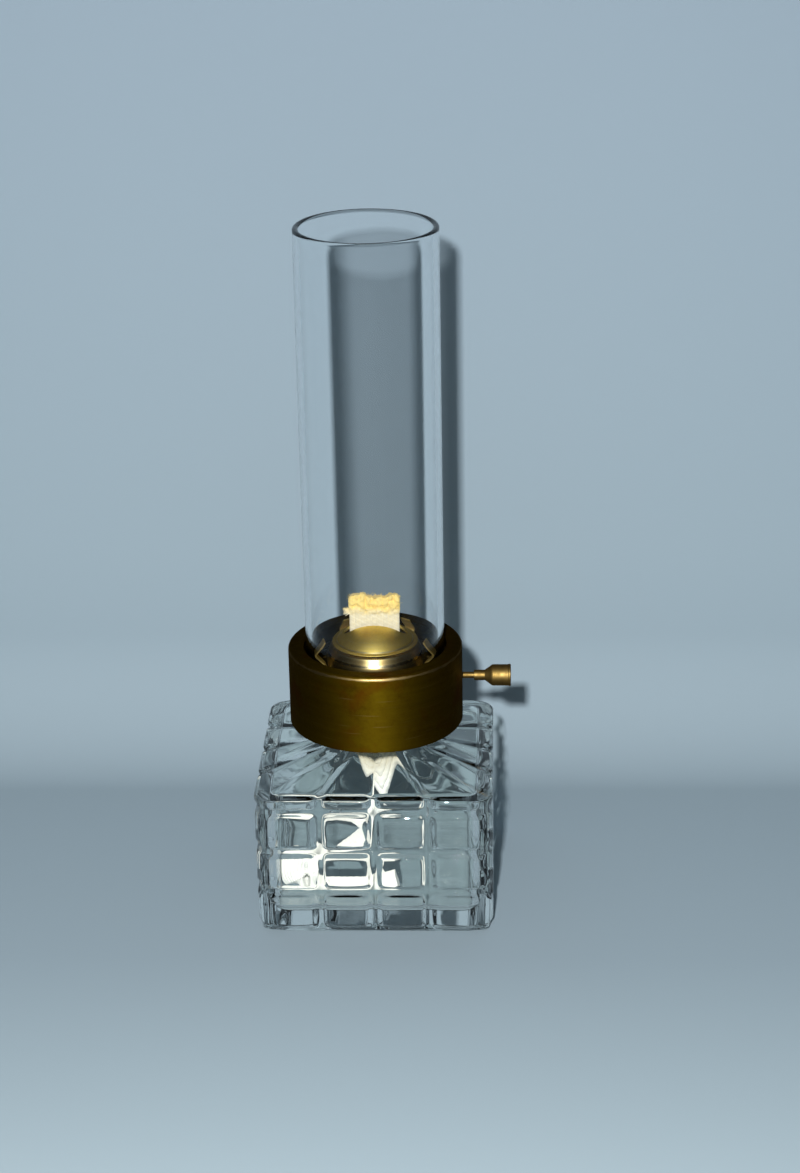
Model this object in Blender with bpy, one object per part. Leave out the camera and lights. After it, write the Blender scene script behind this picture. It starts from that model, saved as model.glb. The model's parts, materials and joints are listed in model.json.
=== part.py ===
"""Miniature oil lamp: square pressed glass font, screw-on brass burner and straight glass chimney.

The lamp stands on the plane z = 0, with its axis on the Z axis, its front towards -Y and
its wick knob out to +X. All lengths are in metres.
"""

import math

import bmesh
import bpy
from mathutils import Matrix, Vector

MM = 0.001

# Clearances and cutters
SEAT_GAP = 0.3 * MM  # between two pieces that rest on each other or fit together
SHAFT_GAP = 0.25 * MM  # round the spindle, all along it
OVERRUN = 1.0 * MM  # how far a cutter passes the face that it cuts
WELD = 0.001 * MM  # points closer than this become one point

# Pressed glass font
FONT_SIDE = 60.0 * MM  # across the flats, over the crowns of the blocks
FONT_CORNER_RADIUS = 5.0 * MM
FONT_EDGE_INSET = 0.9 * MM
FOOT_HEIGHT = 1.1 * MM
FOOT_INSET = 1.6 * MM
BLOCK_COLUMNS = 4
BLOCK_ROWS = 3
BLOCK_MARGIN = 1.8 * MM  # between the pattern and each side's end
BLOCK_TOP_HEIGHT = 34.8 * MM  # the level groove over the top row
BAND_HEIGHT = 3.5 * MM  # the plain band from there up to the edge of the shoulder
GROOVE_DEPTH = 1.4 * MM
CROWN_POWER = 4.0  # how square the crown of a block is
BLOCK_SHARES = (0.0, 0.14, 0.5, 0.86)  # where a block's surface has points
BAND_SHARES = (0.2, 0.7)  # the same, in the plain band under the shoulder
CORNER_SEGMENTS = 4

# Shoulder and neck of the font
SHOULDER_SHARES = (0.14, 0.42, 0.72, 1.0)
SHOULDER_FLUTE_DEPTH = 0.7 * MM
FLUTE_END_SHARE = 0.3  # how much of the flutes' depth is left at the neck
SHOULDER_RISE = 4.3 * MM
NECK_FILLET = 0.5 * MM
NECK_LENGTH = 6.6 * MM
NECK_LIP = 0.4 * MM
NECK_WALL = 2.7 * MM
NECK_TUBE_GAP = 0.6 * MM  # between the neck's bore and the edges of the wick tube

# Hollow of the font
FONT_WALL = 3.4 * MM  # behind the grooves
FONT_FLOOR = 5.0 * MM
HOLLOW_CORNER_RADIUS = 8.0 * MM
HOLLOW_FLOOR_ROUND = 3.5 * MM
HOLLOW_TOP_DROP = 7.3 * MM  # from the font's edge down to where the hollow's sides end
HOLLOW_SHARES = (0.0, 0.45, 1.0)  # rings of the hollow's ceiling, from its sides to the bore
HOLLOW_ROOF_BELOW_NECK = 3.4 * MM

# Gasket and screw cap
GASKET_THICKNESS = 1.0 * MM
GASKET_WIDTH = 2.1 * MM
SHEET = 0.6 * MM  # spun brass of the cap and the air plate
CAP_FOOT_GAP = 0.5 * MM  # between the shoulder and the skirt's edge
CAP_STEP = 0.1 * MM  # how far the cap's top stands out over its skirt
CAP_BEAD = 0.2 * MM

# Barrel and its air holes
BARREL_WALL = 0.5 * MM
BARREL_RISE = 6.8 * MM  # from the air plate up to the barrel's top
BARREL_SHOULDER_ROUND = 0.8 * MM
BARREL_CONE_WIDTH = 1.2 * MM  # how far the coned shoulder runs in
BARREL_CONE_DROP = 2.8 * MM  # from the barrel's top down to the cone's foot
BARREL_LAP = 2.9 * MM  # how far the barrel reaches down over the cap
AIR_PORT_COUNT = 12
AIR_PORT_RADIUS = 1.1 * MM
AIR_PORT_RISE = 2.6 * MM  # from the cap's top up to the ports

# Gallery drum
DRUM_HEIGHT = 20.5 * MM
DRUM_RISE = 6.1 * MM  # from the air plate up to the drum's flange
DRUM_FLANGE = 3.94 * MM
DRUM_WALL = 0.7 * MM
DRUM_EDGE_ROUND = 1.0 * MM
DRUM_MOUTH_GAP = 0.6 * MM  # between the chimney and the drum's flange

# Air plate
PLATE_SPINDLE_GAP = 0.9 * MM  # the spindle passes under the plate's rims
PLATE_RIM_DROP = 2.8 * MM
PLATE_HOLE_COUNT = 18
PLATE_HOLE_RADIUS = 0.9 * MM

# Flame dome
DOME_SET_BACK = 1.4 * MM  # from the barrel's side in to the dome's brim
DOME_BRIM = 1.1 * MM
DOME_RISE = 5.2 * MM  # from the barrel's top up to the dome's apex
DOME_SHEET = 0.5 * MM
DOME_LIP_RISE = 0.25 * MM
SLOT_END_GAP = 1.0 * MM  # between the wick tube and the slot, at each end
SLOT_SIDE_GAP = 0.2 * MM

# Wick
WICK_WIDTH = 12.7 * MM  # standard half inch flat wick
WICK_THICKNESS = 1.8 * MM
WICK_SHOWN = 7.2 * MM  # above the dome's apex
WICK_HEAD_HEIGHT = 4.8 * MM
WICK_HEAD_SWELL = 0.15 * MM  # how far the frayed head stands out at each edge
WICK_BELOW_TUBE = 2.5 * MM
WICK_TOP_WAVE = 0.45 * MM
WICK_WAVE_COUNT = 3
# Rings of the head: shares of its height, of its swell, of its taper and of the wave
WICK_HEAD_SHARES = (
    (0.00, 0.0, 0.0, 0.0),
    (0.28, 1.0, 0.0, 0.0),
    (0.92, 1.0, 0.0, 0.6),
    (1.00, 1.0, 1.0, 1.0),
)
WICK_EDGE_SHARE = 0.5  # how thick the wick is at its two edges
WICK_EDGE_POWER = 6  # how abruptly it thins there

# Loose tail of the wick, from the end of the stiff length to the floor of the font.
# Shares of the hollow's half width, and of the height above the floor
TAIL_ROUTE_SHARES = (
    (0.00, 0.00, 1.00),
    (-0.03, -0.04, 0.70),
    (-0.20, -0.14, 0.42),
    (-0.48, -0.21, 0.26),
    (-0.70, -0.24, 0.17),
    (-0.77, -0.26, 0.08),
    (-0.64, -0.30, 0.00),
    (-0.30, -0.38, 0.00),
    (0.02, -0.43, 0.00),
    (0.30, -0.43, 0.00),
)
TAIL_TWIST_SHARE = 0.45  # the part of its length in which the tail turns from level X to level Y
TAIL_STEPS = 4

# Wick tube and the bracket on it
TUBE_CLEARANCE_WIDE = 0.45 * MM
TUBE_CLEARANCE_THICK = 0.5 * MM
TUBE_WALL = 0.4 * MM
TUBE_DROP = 8.7 * MM  # from the mouth of the neck down to the tube's end
TUBE_RISE = 1.2 * MM  # from the barrel's top up to the tube's top
TUBE_CORNER_SEGMENTS = 3
BRACKET_SHEET = 0.5 * MM
BRACKET_BELOW = 3.5 * MM  # under the spindle's axis
BRACKET_ABOVE = 3.2 * MM

# Spindle, wheels, collar and knob. The spindle lies behind the wick, along X
SPINDLE_RADIUS = 0.8 * MM
SPINDLE_RISE = 6.3 * MM  # from the cap's top up to the spindle's axis
SPINDLE_END = 1.0 * MM  # how far it passes the bracket's inner ear
WHEEL_RADIUS = 2.15 * MM
WHEEL_SPACING = 6.4 * MM
WHEEL_THICKNESS = 1.6 * MM
WHEEL_BITE_GAP = 0.25 * MM
WHEEL_TOOTH_DEPTH = 0.55 * MM
WHEEL_TEETH = 12
WHEEL_TOOTH_TIP_SHARE = 0.18
WHEEL_TOOTH_ROOT_SHARE = 0.5
COLLAR_WALL = 0.75 * MM
COLLAR_WIDTH = 1.4 * MM
KNOB_STAND_OFF = 2.9 * MM  # between the drum and the knob's sleeve
KNOB_HUB_WALL = 0.3 * MM
KNOB_HUB_LENGTH = 2.8 * MM
KNOB_CONE_LENGTH = 1.4 * MM
KNOB_RADIUS = 2.75 * MM
KNOB_LENGTH = 9.5 * MM
KNOB_ROUND = 0.4 * MM
KNOB_RIM_WIDTH = 0.6 * MM
KNOB_RIM_STEP = 0.12 * MM
KNOB_FACE_THICKNESS = 1.3 * MM

# Springs that grip the chimney from inside
SPRING_ANGLES = (-15.0, 55.0, 125.0, 195.0)
SPRING_WIDTH = 3.0 * MM
SPRING_SHEET = 0.35 * MM
SPRING_RISE = 8.4 * MM  # from the air plate up to a spring's top
SPRING_ROOM = 3.86 * MM  # between the barrel and the chimney
SPRING_CHIMNEY_GAP = 0.5 * MM
SPRING_STEPS = 3
# Shares of the way from the barrel out to the chimney, and from the plate up to the top
SPRING_SHARES = (
    (0.78, 0.00),
    (0.45, 0.00),
    (0.14, 0.02),
    (0.16, 0.14),
    (0.55, 0.32),
    (0.98, 0.52),
    (0.92, 0.64),
    (0.48, 0.84),
    (0.20, 1.00),
)

# Chimney
CHIMNEY_WALL = 1.5 * MM
CHIMNEY_LENGTH = 114.3 * MM  # four and a half inches
RIM_SEGMENTS = 4

# Facets
LARGE_STEPS = 48
SMALL_STEPS = 20
BORE_STEPS = 16
ARC_SEGMENTS = 3
DOME_SEGMENTS = 5

# Radii, from the wick in the middle out to the knob
TUBE_INNER_WIDTH = WICK_WIDTH + 2 * TUBE_CLEARANCE_WIDE
TUBE_INNER_THICKNESS = WICK_THICKNESS + 2 * TUBE_CLEARANCE_THICK
TUBE_WIDTH = TUBE_INNER_WIDTH + 2 * TUBE_WALL
TUBE_THICKNESS = TUBE_INNER_THICKNESS + 2 * TUBE_WALL
SLOT_LENGTH = TUBE_WIDTH + 2 * SLOT_END_GAP
SLOT_WIDTH = TUBE_THICKNESS + 2 * SLOT_SIDE_GAP
NECK_BORE_RADIUS = TUBE_WIDTH / 2 + NECK_TUBE_GAP
NECK_RADIUS = NECK_BORE_RADIUS + NECK_WALL
CAP_INNER_RADIUS = NECK_RADIUS + SEAT_GAP
CAP_SKIRT_RADIUS = CAP_INNER_RADIUS + SHEET
CAP_RADIUS = CAP_SKIRT_RADIUS + CAP_STEP
BARREL_INNER_RADIUS = CAP_RADIUS + SEAT_GAP
BARREL_RADIUS = BARREL_INNER_RADIUS + BARREL_WALL
DOME_RADIUS = BARREL_RADIUS - DOME_SET_BACK
DOME_CAP_RADIUS = DOME_RADIUS - DOME_BRIM
BARREL_MOUTH_RADIUS = DOME_CAP_RADIUS - DOME_SHEET
CHIMNEY_INNER_RADIUS = BARREL_RADIUS + SPRING_ROOM
CHIMNEY_RADIUS = CHIMNEY_INNER_RADIUS + CHIMNEY_WALL
DRUM_MOUTH_RADIUS = CHIMNEY_RADIUS + DRUM_MOUTH_GAP
DRUM_RADIUS = DRUM_MOUTH_RADIUS + DRUM_FLANGE
DRUM_INNER_RADIUS = DRUM_RADIUS - DRUM_WALL
PLATE_RADIUS = DRUM_INNER_RADIUS - SEAT_GAP
PLATE_BORE_RADIUS = BARREL_RADIUS + SEAT_GAP
SPINDLE_BORE_RADIUS = SPINDLE_RADIUS + SHAFT_GAP
SPINDLE_BEHIND = WICK_THICKNESS / 2 + WHEEL_BITE_GAP + WHEEL_RADIUS
BRACKET_INNER = TUBE_WIDTH / 2 + SEAT_GAP
BRACKET_OUTER = BRACKET_INNER + BRACKET_SHEET
KNOB_HUB_START = DRUM_RADIUS + KNOB_STAND_OFF
KNOB_HUB_RADIUS = SPINDLE_BORE_RADIUS + KNOB_HUB_WALL
COLLAR_RADIUS = SPINDLE_BORE_RADIUS + COLLAR_WALL

# Places in the font
BLOCK_PITCH = (FONT_SIDE - 2 * BLOCK_MARGIN) / BLOCK_COLUMNS
BLOCK_HEIGHT = (BLOCK_TOP_HEIGHT - FOOT_HEIGHT) / BLOCK_ROWS
FONT_EDGE_HEIGHT = BLOCK_TOP_HEIGHT + BAND_HEIGHT
NECK_FOOT_HEIGHT = FONT_EDGE_HEIGHT + SHOULDER_RISE
NECK_TOP_HEIGHT = NECK_FOOT_HEIGHT + NECK_LENGTH
HOLLOW_HALF = FONT_SIDE / 2 - GROOVE_DEPTH - FONT_WALL
HOLLOW_SIDE_TOP = FONT_EDGE_HEIGHT - HOLLOW_TOP_DROP
HOLLOW_ROOF = NECK_FOOT_HEIGHT - HOLLOW_ROOF_BELOW_NECK

# Heights, from the neck up through the burner to the chimney
GASKET_BOTTOM = NECK_TOP_HEIGHT + SEAT_GAP
CAP_PLATE_BOTTOM = GASKET_BOTTOM + GASKET_THICKNESS + SEAT_GAP
CAP_TOP = CAP_PLATE_BOTTOM + SHEET
CAP_BOTTOM = NECK_FOOT_HEIGHT + NECK_FILLET + CAP_FOOT_GAP
BARREL_BOTTOM = CAP_TOP - BARREL_LAP
AIR_PORT_HEIGHT = CAP_TOP + AIR_PORT_RISE
SPINDLE_HEIGHT = CAP_TOP + SPINDLE_RISE
BRACKET_BOTTOM_HEIGHT = SPINDLE_HEIGHT - BRACKET_BELOW
BRACKET_TOP_HEIGHT = SPINDLE_HEIGHT + BRACKET_ABOVE
PLATE_RIM_HEIGHT = SPINDLE_HEIGHT + SPINDLE_RADIUS + PLATE_SPINDLE_GAP
PLATE_TOP_HEIGHT = PLATE_RIM_HEIGHT + PLATE_RIM_DROP
DRUM_TOP_HEIGHT = PLATE_TOP_HEIGHT + DRUM_RISE
DRUM_BOTTOM_HEIGHT = DRUM_TOP_HEIGHT - DRUM_HEIGHT
BARREL_TOP_HEIGHT = PLATE_TOP_HEIGHT + BARREL_RISE
SPRING_TOP_HEIGHT = PLATE_TOP_HEIGHT + SPRING_RISE
CHIMNEY_BOTTOM = PLATE_TOP_HEIGHT + SEAT_GAP
CHIMNEY_TOP_HEIGHT = CHIMNEY_BOTTOM + CHIMNEY_LENGTH
TUBE_BOTTOM_HEIGHT = NECK_TOP_HEIGHT - TUBE_DROP
TUBE_TOP_HEIGHT = BARREL_TOP_HEIGHT + TUBE_RISE
DOME_APEX_HEIGHT = BARREL_TOP_HEIGHT + DOME_RISE
WICK_BOTTOM_HEIGHT = TUBE_BOTTOM_HEIGHT - WICK_BELOW_TUBE
WICK_TOP_HEIGHT = DOME_APEX_HEIGHT + WICK_SHOWN

# Finish of each material: colour, roughness, metallic, transmission
FINISHES = {
    "font_glass": ((0.80, 0.88, 0.87), 0.04, 0.0, 0.9),
    "chimney_glass": ((0.90, 0.95, 0.95), 0.02, 0.0, 0.95),
    "cork": ((0.42, 0.26, 0.13), 0.85, 0.0, 0.0),
    "drum_bronze": ((0.13, 0.08, 0.015), 0.38, 1.0, 0.0),
    "satin_brass": ((0.42, 0.33, 0.11), 0.36, 1.0, 0.0),
    "bright_brass": ((0.72, 0.50, 0.14), 0.24, 1.0, 0.0),
    "dull_brass": ((0.24, 0.17, 0.06), 0.5, 1.0, 0.0),
    "spring_brass": ((0.50, 0.38, 0.14), 0.32, 1.0, 0.0),
    "cotton": ((0.88, 0.80, 0.58), 0.95, 0.0, 0.0),
}


def material(name):
    """The named finish as a material, made once."""
    found = bpy.data.materials.get(name)
    if found:
        return found
    colour, roughness, metallic, transmission = FINISHES[name]
    made = bpy.data.materials.new(name)
    made.use_nodes = True
    made.diffuse_color = (*colour, 1.0)
    shader = made.node_tree.nodes["Principled BSDF"]
    shader.inputs["Base Color"].default_value = (*colour, 1.0)
    shader.inputs["Roughness"].default_value = roughness
    shader.inputs["Metallic"].default_value = metallic
    shader.inputs["Transmission Weight"].default_value = transmission
    return made


def clear_scene():
    """Removes what a new file holds."""
    for item in list(bpy.data.objects):
        bpy.data.objects.remove(item)


def axis_empty(name, place=(0, 0, 0), turn=(0, 0, 0)):
    """An empty that marks the axis which a group of pieces moves on."""
    empty = bpy.data.objects.new(name, None)
    empty.location = place
    empty.rotation_euler = turn
    bpy.context.scene.collection.objects.link(empty)
    return empty


def finish_piece(name, bm, finish, parent=None, smooth_angle=40.0):
    """Turns a bmesh into a named object with its material and smooth shading."""
    bmesh.ops.remove_doubles(bm, verts=bm.verts, dist=WELD)
    bmesh.ops.recalc_face_normals(bm, faces=bm.faces)
    mesh = bpy.data.meshes.new(name)
    bm.to_mesh(mesh)
    bm.free()
    mesh.shade_smooth()
    mesh.set_sharp_from_angle(angle=math.radians(smooth_angle))
    piece = bpy.data.objects.new(name, mesh)
    piece.data.materials.append(material(finish))
    bpy.context.scene.collection.objects.link(piece)
    piece.parent = parent
    return piece


def hidden_cutter(name, bm, target):
    """Cuts the bmesh out of the target and keeps it as a hidden guide."""
    bmesh.ops.recalc_face_normals(bm, faces=bm.faces)
    mesh = bpy.data.meshes.new(name)
    bm.to_mesh(mesh)
    bm.free()
    cutter = bpy.data.objects.new(name, mesh)
    cutter.hide_render = True
    cutter.display_type = "WIRE"
    bpy.context.scene.collection.objects.link(cutter)
    cut = target.modifiers.new(name, "BOOLEAN")
    cut.operation = "DIFFERENCE"
    cut.object = cutter
    return cutter


def loft(bm, rings, cap_ends=True):
    """Joins closed rings of points, each with as many points, into one skin."""
    rows = [[bm.verts.new(point) for point in ring] for ring in rings]
    count = len(rows[0])
    for low, high in zip(rows, rows[1:]):
        for i in range(count):
            j = (i + 1) % count
            bm.faces.new((low[i], low[j], high[j], high[i]))
    if cap_ends:
        bm.faces.new(list(reversed(rows[0])))
        bm.faces.new(rows[-1])


def arc(centre_r, centre_z, radius, start, end, segments=ARC_SEGMENTS):
    """Points of an arc in the plane of a turned outline, by its angles in degrees."""
    points = []
    for i in range(segments + 1):
        angle = math.radians(start + (end - start) * i / segments)
        points.append((centre_r + radius * math.cos(angle), centre_z + radius * math.sin(angle)))
    return points


def turned(name, outline, finish, steps, parent=None):
    """A piece turned on the Z axis from a closed outline of (radius, height) points."""
    bm = bmesh.new()
    verts = [bm.verts.new((radius, 0, height)) for radius, height in outline]
    edges = [bm.edges.new((verts[i - 1], verts[i])) for i in range(len(verts))]
    bmesh.ops.spin(
        bm,
        geom=verts + edges,
        cent=(0, 0, 0),
        axis=(0, 0, 1),
        angle=math.tau,
        steps=steps,
        use_merge=True,
    )
    bmesh.ops.dissolve_degenerate(bm, edges=bm.edges, dist=WELD)
    return finish_piece(name, bm, finish, parent)


def drilled_holes(target, name, places, radius, length, steps=BORE_STEPS):
    """Cuts round holes, each along the Z axis of its matrix, out of the target."""
    bm = bmesh.new()
    for place in places:
        bmesh.ops.create_cone(
            bm,
            cap_ends=True,
            segments=steps,
            radius1=radius,
            radius2=radius,
            depth=length,
            matrix=place,
        )
    return hidden_cutter(name, bm, target)


def along_x(place):
    """A matrix at that place whose Z axis lies along X."""
    return Matrix.Translation(place) @ Matrix.Rotation(math.pi / 2, 4, "Y")


def smooth_route(points, steps):
    """Points on a smooth curve through the given ones."""
    knots = [Vector(p) for p in points]
    knots = [2 * knots[0] - knots[1], *knots, 2 * knots[-1] - knots[-2]]
    route = []
    for a, b, c, d in zip(knots, knots[1:], knots[2:], knots[3:]):
        for i in range(steps):
            t = i / steps
            bend = 2 * a - 5 * b + 4 * c - d
            swing = 3 * b - a - 3 * c + d
            route.append((2 * b + (c - a) * t + bend * t**2 + swing * t**3) / 2)
    route.append(knots[-2])
    return route


def crown(distance, half_span):
    """Height of a block's crown, from 0 in the groove to 1, by the distance from the groove."""
    share = min(1.0, max(0.0, distance / half_span))
    return 1.0 - (1.0 - share) ** CROWN_POWER


def column_crown(along):
    """Crown at a place along a side, measured from its middle."""
    grooves = [(i - BLOCK_COLUMNS / 2) * BLOCK_PITCH for i in range(1, BLOCK_COLUMNS)]
    nearest = min(abs(along - groove) for groove in grooves)
    return crown(nearest, BLOCK_PITCH / 2)


def column_places():
    """Places along a side, between the corners, where its outline has points."""
    places = []
    reach = FONT_SIDE / 2 - GROOVE_DEPTH - FOOT_INSET - FONT_CORNER_RADIUS
    for column in range(BLOCK_COLUMNS):
        start = (column - BLOCK_COLUMNS / 2) * BLOCK_PITCH
        places += [start + share * BLOCK_PITCH for share in BLOCK_SHARES]
    return [place for place in places if abs(place) < reach]


def square_ring(half, corner_radius, height, groove_depth):
    """A level outline of the font: four sides with upright grooves, and round corners."""
    points = []
    straight = half - corner_radius
    for side in range(4):
        turn = Matrix.Rotation(side * math.pi / 2, 4, "Z")
        outline = [(-straight, half)]
        outline += [(s, half - groove_depth * (1 - column_crown(s))) for s in column_places()]
        for i in range(CORNER_SEGMENTS):
            angle = math.pi / 2 * (1 - i / CORNER_SEGMENTS)
            outline.append(
                (straight + corner_radius * math.cos(angle), straight + corner_radius * math.sin(angle))
            )
        points += [turn @ Vector((along, -out, height)) for along, out in outline]
    return points


def side_rings():
    """Outlines of the font from its foot up to the edge of the shoulder."""
    half = FONT_SIDE / 2
    rings = [square_ring(half - GROOVE_DEPTH - FOOT_INSET, FONT_CORNER_RADIUS, 0, 0)]
    for row in range(BLOCK_ROWS):
        for share in BLOCK_SHARES:
            height = FOOT_HEIGHT + (row + share) * BLOCK_HEIGHT
            rise = crown(min(share, 1 - share) * BLOCK_HEIGHT, BLOCK_HEIGHT / 2)
            level_half = half - GROOVE_DEPTH * (1 - rise)
            rings.append(square_ring(level_half, FONT_CORNER_RADIUS, height, GROOVE_DEPTH * rise))
    rings.append(square_ring(half - GROOVE_DEPTH, FONT_CORNER_RADIUS, BLOCK_TOP_HEIGHT, 0))
    band = FONT_EDGE_HEIGHT - BLOCK_TOP_HEIGHT
    for share in BAND_SHARES:
        rise = crown(share * band, band)
        level_half = half - GROOVE_DEPTH * (1 - rise)
        height = BLOCK_TOP_HEIGHT + share * band
        rings.append(square_ring(level_half, FONT_CORNER_RADIUS, height, GROOVE_DEPTH * rise))
    rings.append(square_ring(half - FONT_EDGE_INSET, FONT_CORNER_RADIUS, FONT_EDGE_HEIGHT, GROOVE_DEPTH))
    return rings


def shoulder_rings(edge):
    """Outlines from the square edge up the fluted shoulder to the round foot of the neck."""
    foot_radius = NECK_RADIUS + NECK_FILLET
    plain = square_ring(FONT_SIDE / 2 - FONT_EDGE_INSET, FONT_CORNER_RADIUS, FONT_EDGE_HEIGHT, 0)
    rings = []
    for share in SHOULDER_SHARES:
        depth = SHOULDER_FLUTE_DEPTH * (1 - (1 - FLUTE_END_SHARE) * share)
        ring = []
        for point, smooth in zip(edge, plain):
            groove = (Vector(smooth.xy) - Vector(point.xy)).length / GROOVE_DEPTH
            outward = Vector((smooth.x, smooth.y, 0)).normalized() * foot_radius
            place = Vector((smooth.x, smooth.y, 0)).lerp(outward, share)
            rise = (NECK_FOOT_HEIGHT - FONT_EDGE_HEIGHT) * share
            place.z = FONT_EDGE_HEIGHT + rise - depth * groove * (1 - share**8)
            ring.append(place)
        rings.append(ring)
    return rings


def round_ring(like, radius, height):
    """A round outline with a point for each point of another one, in the same directions."""
    return [Vector((p.x, p.y, 0)).normalized() * radius + Vector((0, 0, height)) for p in like]


def hollow_ring(half, height, round_share=0.0):
    """A level outline of the hollow, from a square with round corners to the round bore."""
    points = []
    corner = min(HOLLOW_CORNER_RADIUS, half)
    straight = half - corner
    for side in range(4):
        turn = Matrix.Rotation(side * math.pi / 2, 4, "Z")
        outline = [(-straight, half), (0, half)]
        for i in range(CORNER_SEGMENTS):
            angle = math.pi / 2 * (1 - i / CORNER_SEGMENTS)
            outline.append((straight + corner * math.cos(angle), straight + corner * math.sin(angle)))
        for along, out in outline:
            square = Vector((along, -out, 0))
            circle = square.normalized() * NECK_BORE_RADIUS
            points.append(turn @ (square.lerp(circle, round_share) + Vector((0, 0, height))))
    return points


def make_font():
    """The pressed glass font: grooved block sides, fluted shoulder, plain neck and hollow."""
    rings = side_rings()
    rings += shoulder_rings(rings[-1])
    like = rings[-1]
    rings.append(round_ring(like, NECK_RADIUS, NECK_FOOT_HEIGHT + NECK_FILLET))
    rings.append(round_ring(like, NECK_RADIUS, NECK_TOP_HEIGHT - NECK_LIP))
    rings.append(round_ring(like, NECK_RADIUS - NECK_LIP, NECK_TOP_HEIGHT))
    bm = bmesh.new()
    loft(bm, rings)
    font = finish_piece("glass_font", bm, "font_glass", smooth_angle=30.0)

    hollow = bmesh.new()
    inner = []
    for degrees in (0, 45, 90):
        angle = math.radians(degrees)
        inset = HOLLOW_FLOOR_ROUND * (1 - math.sin(angle))
        rise = HOLLOW_FLOOR_ROUND * (1 - math.cos(angle))
        inner.append(hollow_ring(HOLLOW_HALF - inset, FONT_FLOOR + rise))
    for share in HOLLOW_SHARES:
        height = HOLLOW_SIDE_TOP + (HOLLOW_ROOF - HOLLOW_SIDE_TOP) * math.sin(share * math.pi / 2)
        inner.append(hollow_ring(HOLLOW_HALF, height, share))
    inner.append(hollow_ring(HOLLOW_HALF, NECK_TOP_HEIGHT + OVERRUN, 1.0))
    loft(hollow, inner)
    hidden_cutter("font_hollow", hollow, font)
    return font


def make_gasket(parent):
    """Cork ring on the mouth of the neck."""
    outer = NECK_RADIUS - NECK_LIP
    inner = outer - GASKET_WIDTH
    top = GASKET_BOTTOM + GASKET_THICKNESS
    outline = [(outer, GASKET_BOTTOM), (outer, top), (inner, top), (inner, GASKET_BOTTOM)]
    return turned("neck_gasket", outline, "cork", LARGE_STEPS // 2, parent)


def stadium(width, thickness, height, segments):
    """A level outline with two round ends, wide along X."""
    radius = thickness / 2
    straight = width / 2 - radius
    points = []
    for centre, start in ((straight, -90.0), (-straight, 90.0)):
        for i in range(segments + 1):
            angle = math.radians(start + 180.0 * i / segments)
            points.append(
                Vector((centre + radius * math.cos(angle), radius * math.sin(angle), height))
            )
    return points


def stadium_bar(width, thickness, bottom, top, segments=TUBE_CORNER_SEGMENTS):
    """A bmesh bar with round ends, from one height to another."""
    bm = bmesh.new()
    loft(bm, [stadium(width, thickness, height, segments) for height in (bottom, top)])
    return bm


def make_cap(parent):
    """Spun screw cap over the neck, with a hole for the wick tube."""
    outline = [
        (CAP_SKIRT_RADIUS, CAP_BOTTOM),
        (CAP_SKIRT_RADIUS + CAP_BEAD, CAP_BOTTOM + CAP_BEAD),
        (CAP_SKIRT_RADIUS, CAP_BOTTOM + 2 * CAP_BEAD),
        (CAP_SKIRT_RADIUS, BARREL_BOTTOM - 2 * SEAT_GAP),
        (CAP_RADIUS, BARREL_BOTTOM - SEAT_GAP),
        (CAP_RADIUS, CAP_TOP - SHEET),
        (CAP_RADIUS - SHEET, CAP_TOP),
        (0, CAP_TOP),
        (0, CAP_PLATE_BOTTOM),
        (CAP_INNER_RADIUS, CAP_PLATE_BOTTOM),
        (CAP_INNER_RADIUS, CAP_BOTTOM),
    ]
    cap = turned("burner_cap", outline, "dull_brass", LARGE_STEPS, parent)
    hole = stadium_bar(
        TUBE_WIDTH + 2 * SEAT_GAP,
        TUBE_THICKNESS + 2 * SEAT_GAP,
        CAP_PLATE_BOTTOM - OVERRUN,
        CAP_TOP + OVERRUN,
    )
    hidden_cutter("cap_hole", hole, cap)
    return cap


def make_barrel(parent):
    """Thin tube on the cap, with air ports, a hole for the spindle and a coned, turned-in top."""
    lean = math.atan2(BARREL_CONE_WIDTH, BARREL_CONE_DROP)
    lean_degrees = math.degrees(lean)
    cone_foot = BARREL_TOP_HEIGHT - BARREL_CONE_DROP
    inner_foot = cone_foot - BARREL_WALL * math.tan(lean / 2)
    shoulder = BARREL_TOP_HEIGHT - BARREL_SHOULDER_ROUND
    round_run = BARREL_SHOULDER_ROUND * math.tan(math.pi / 4 - lean / 2)
    corner = BARREL_RADIUS - BARREL_CONE_WIDTH - round_run
    inner_round = BARREL_SHOULDER_ROUND - BARREL_WALL
    outline = [(BARREL_RADIUS, BARREL_BOTTOM), (BARREL_RADIUS, cone_foot)]
    outline += arc(corner, shoulder, BARREL_SHOULDER_ROUND, lean_degrees, 90)
    outline += [
        (BARREL_MOUTH_RADIUS, BARREL_TOP_HEIGHT),
        (BARREL_MOUTH_RADIUS, BARREL_TOP_HEIGHT - BARREL_WALL),
    ]
    outline += arc(corner, shoulder, inner_round, 90, lean_degrees)
    outline += [(BARREL_INNER_RADIUS, inner_foot), (BARREL_INNER_RADIUS, BARREL_BOTTOM)]
    barrel = turned("burner_barrel", outline, "satin_brass", LARGE_STEPS, parent)
    places = []
    for i in range(AIR_PORT_COUNT):
        turn = Matrix.Rotation(math.tau * (i + 0.5) / AIR_PORT_COUNT, 4, "Z")
        places.append(turn @ along_x((BARREL_RADIUS, 0, AIR_PORT_HEIGHT)))
    length = 2 * (BARREL_WALL + 2 * OVERRUN)
    drilled_holes(barrel, "barrel_ports", places, AIR_PORT_RADIUS, length, steps=8)
    spindle_place = along_x((BARREL_RADIUS, SPINDLE_BEHIND, SPINDLE_HEIGHT))
    drilled_holes(barrel, "barrel_spindle_hole", [spindle_place], SPINDLE_RADIUS + SEAT_GAP, length)
    return barrel


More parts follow.
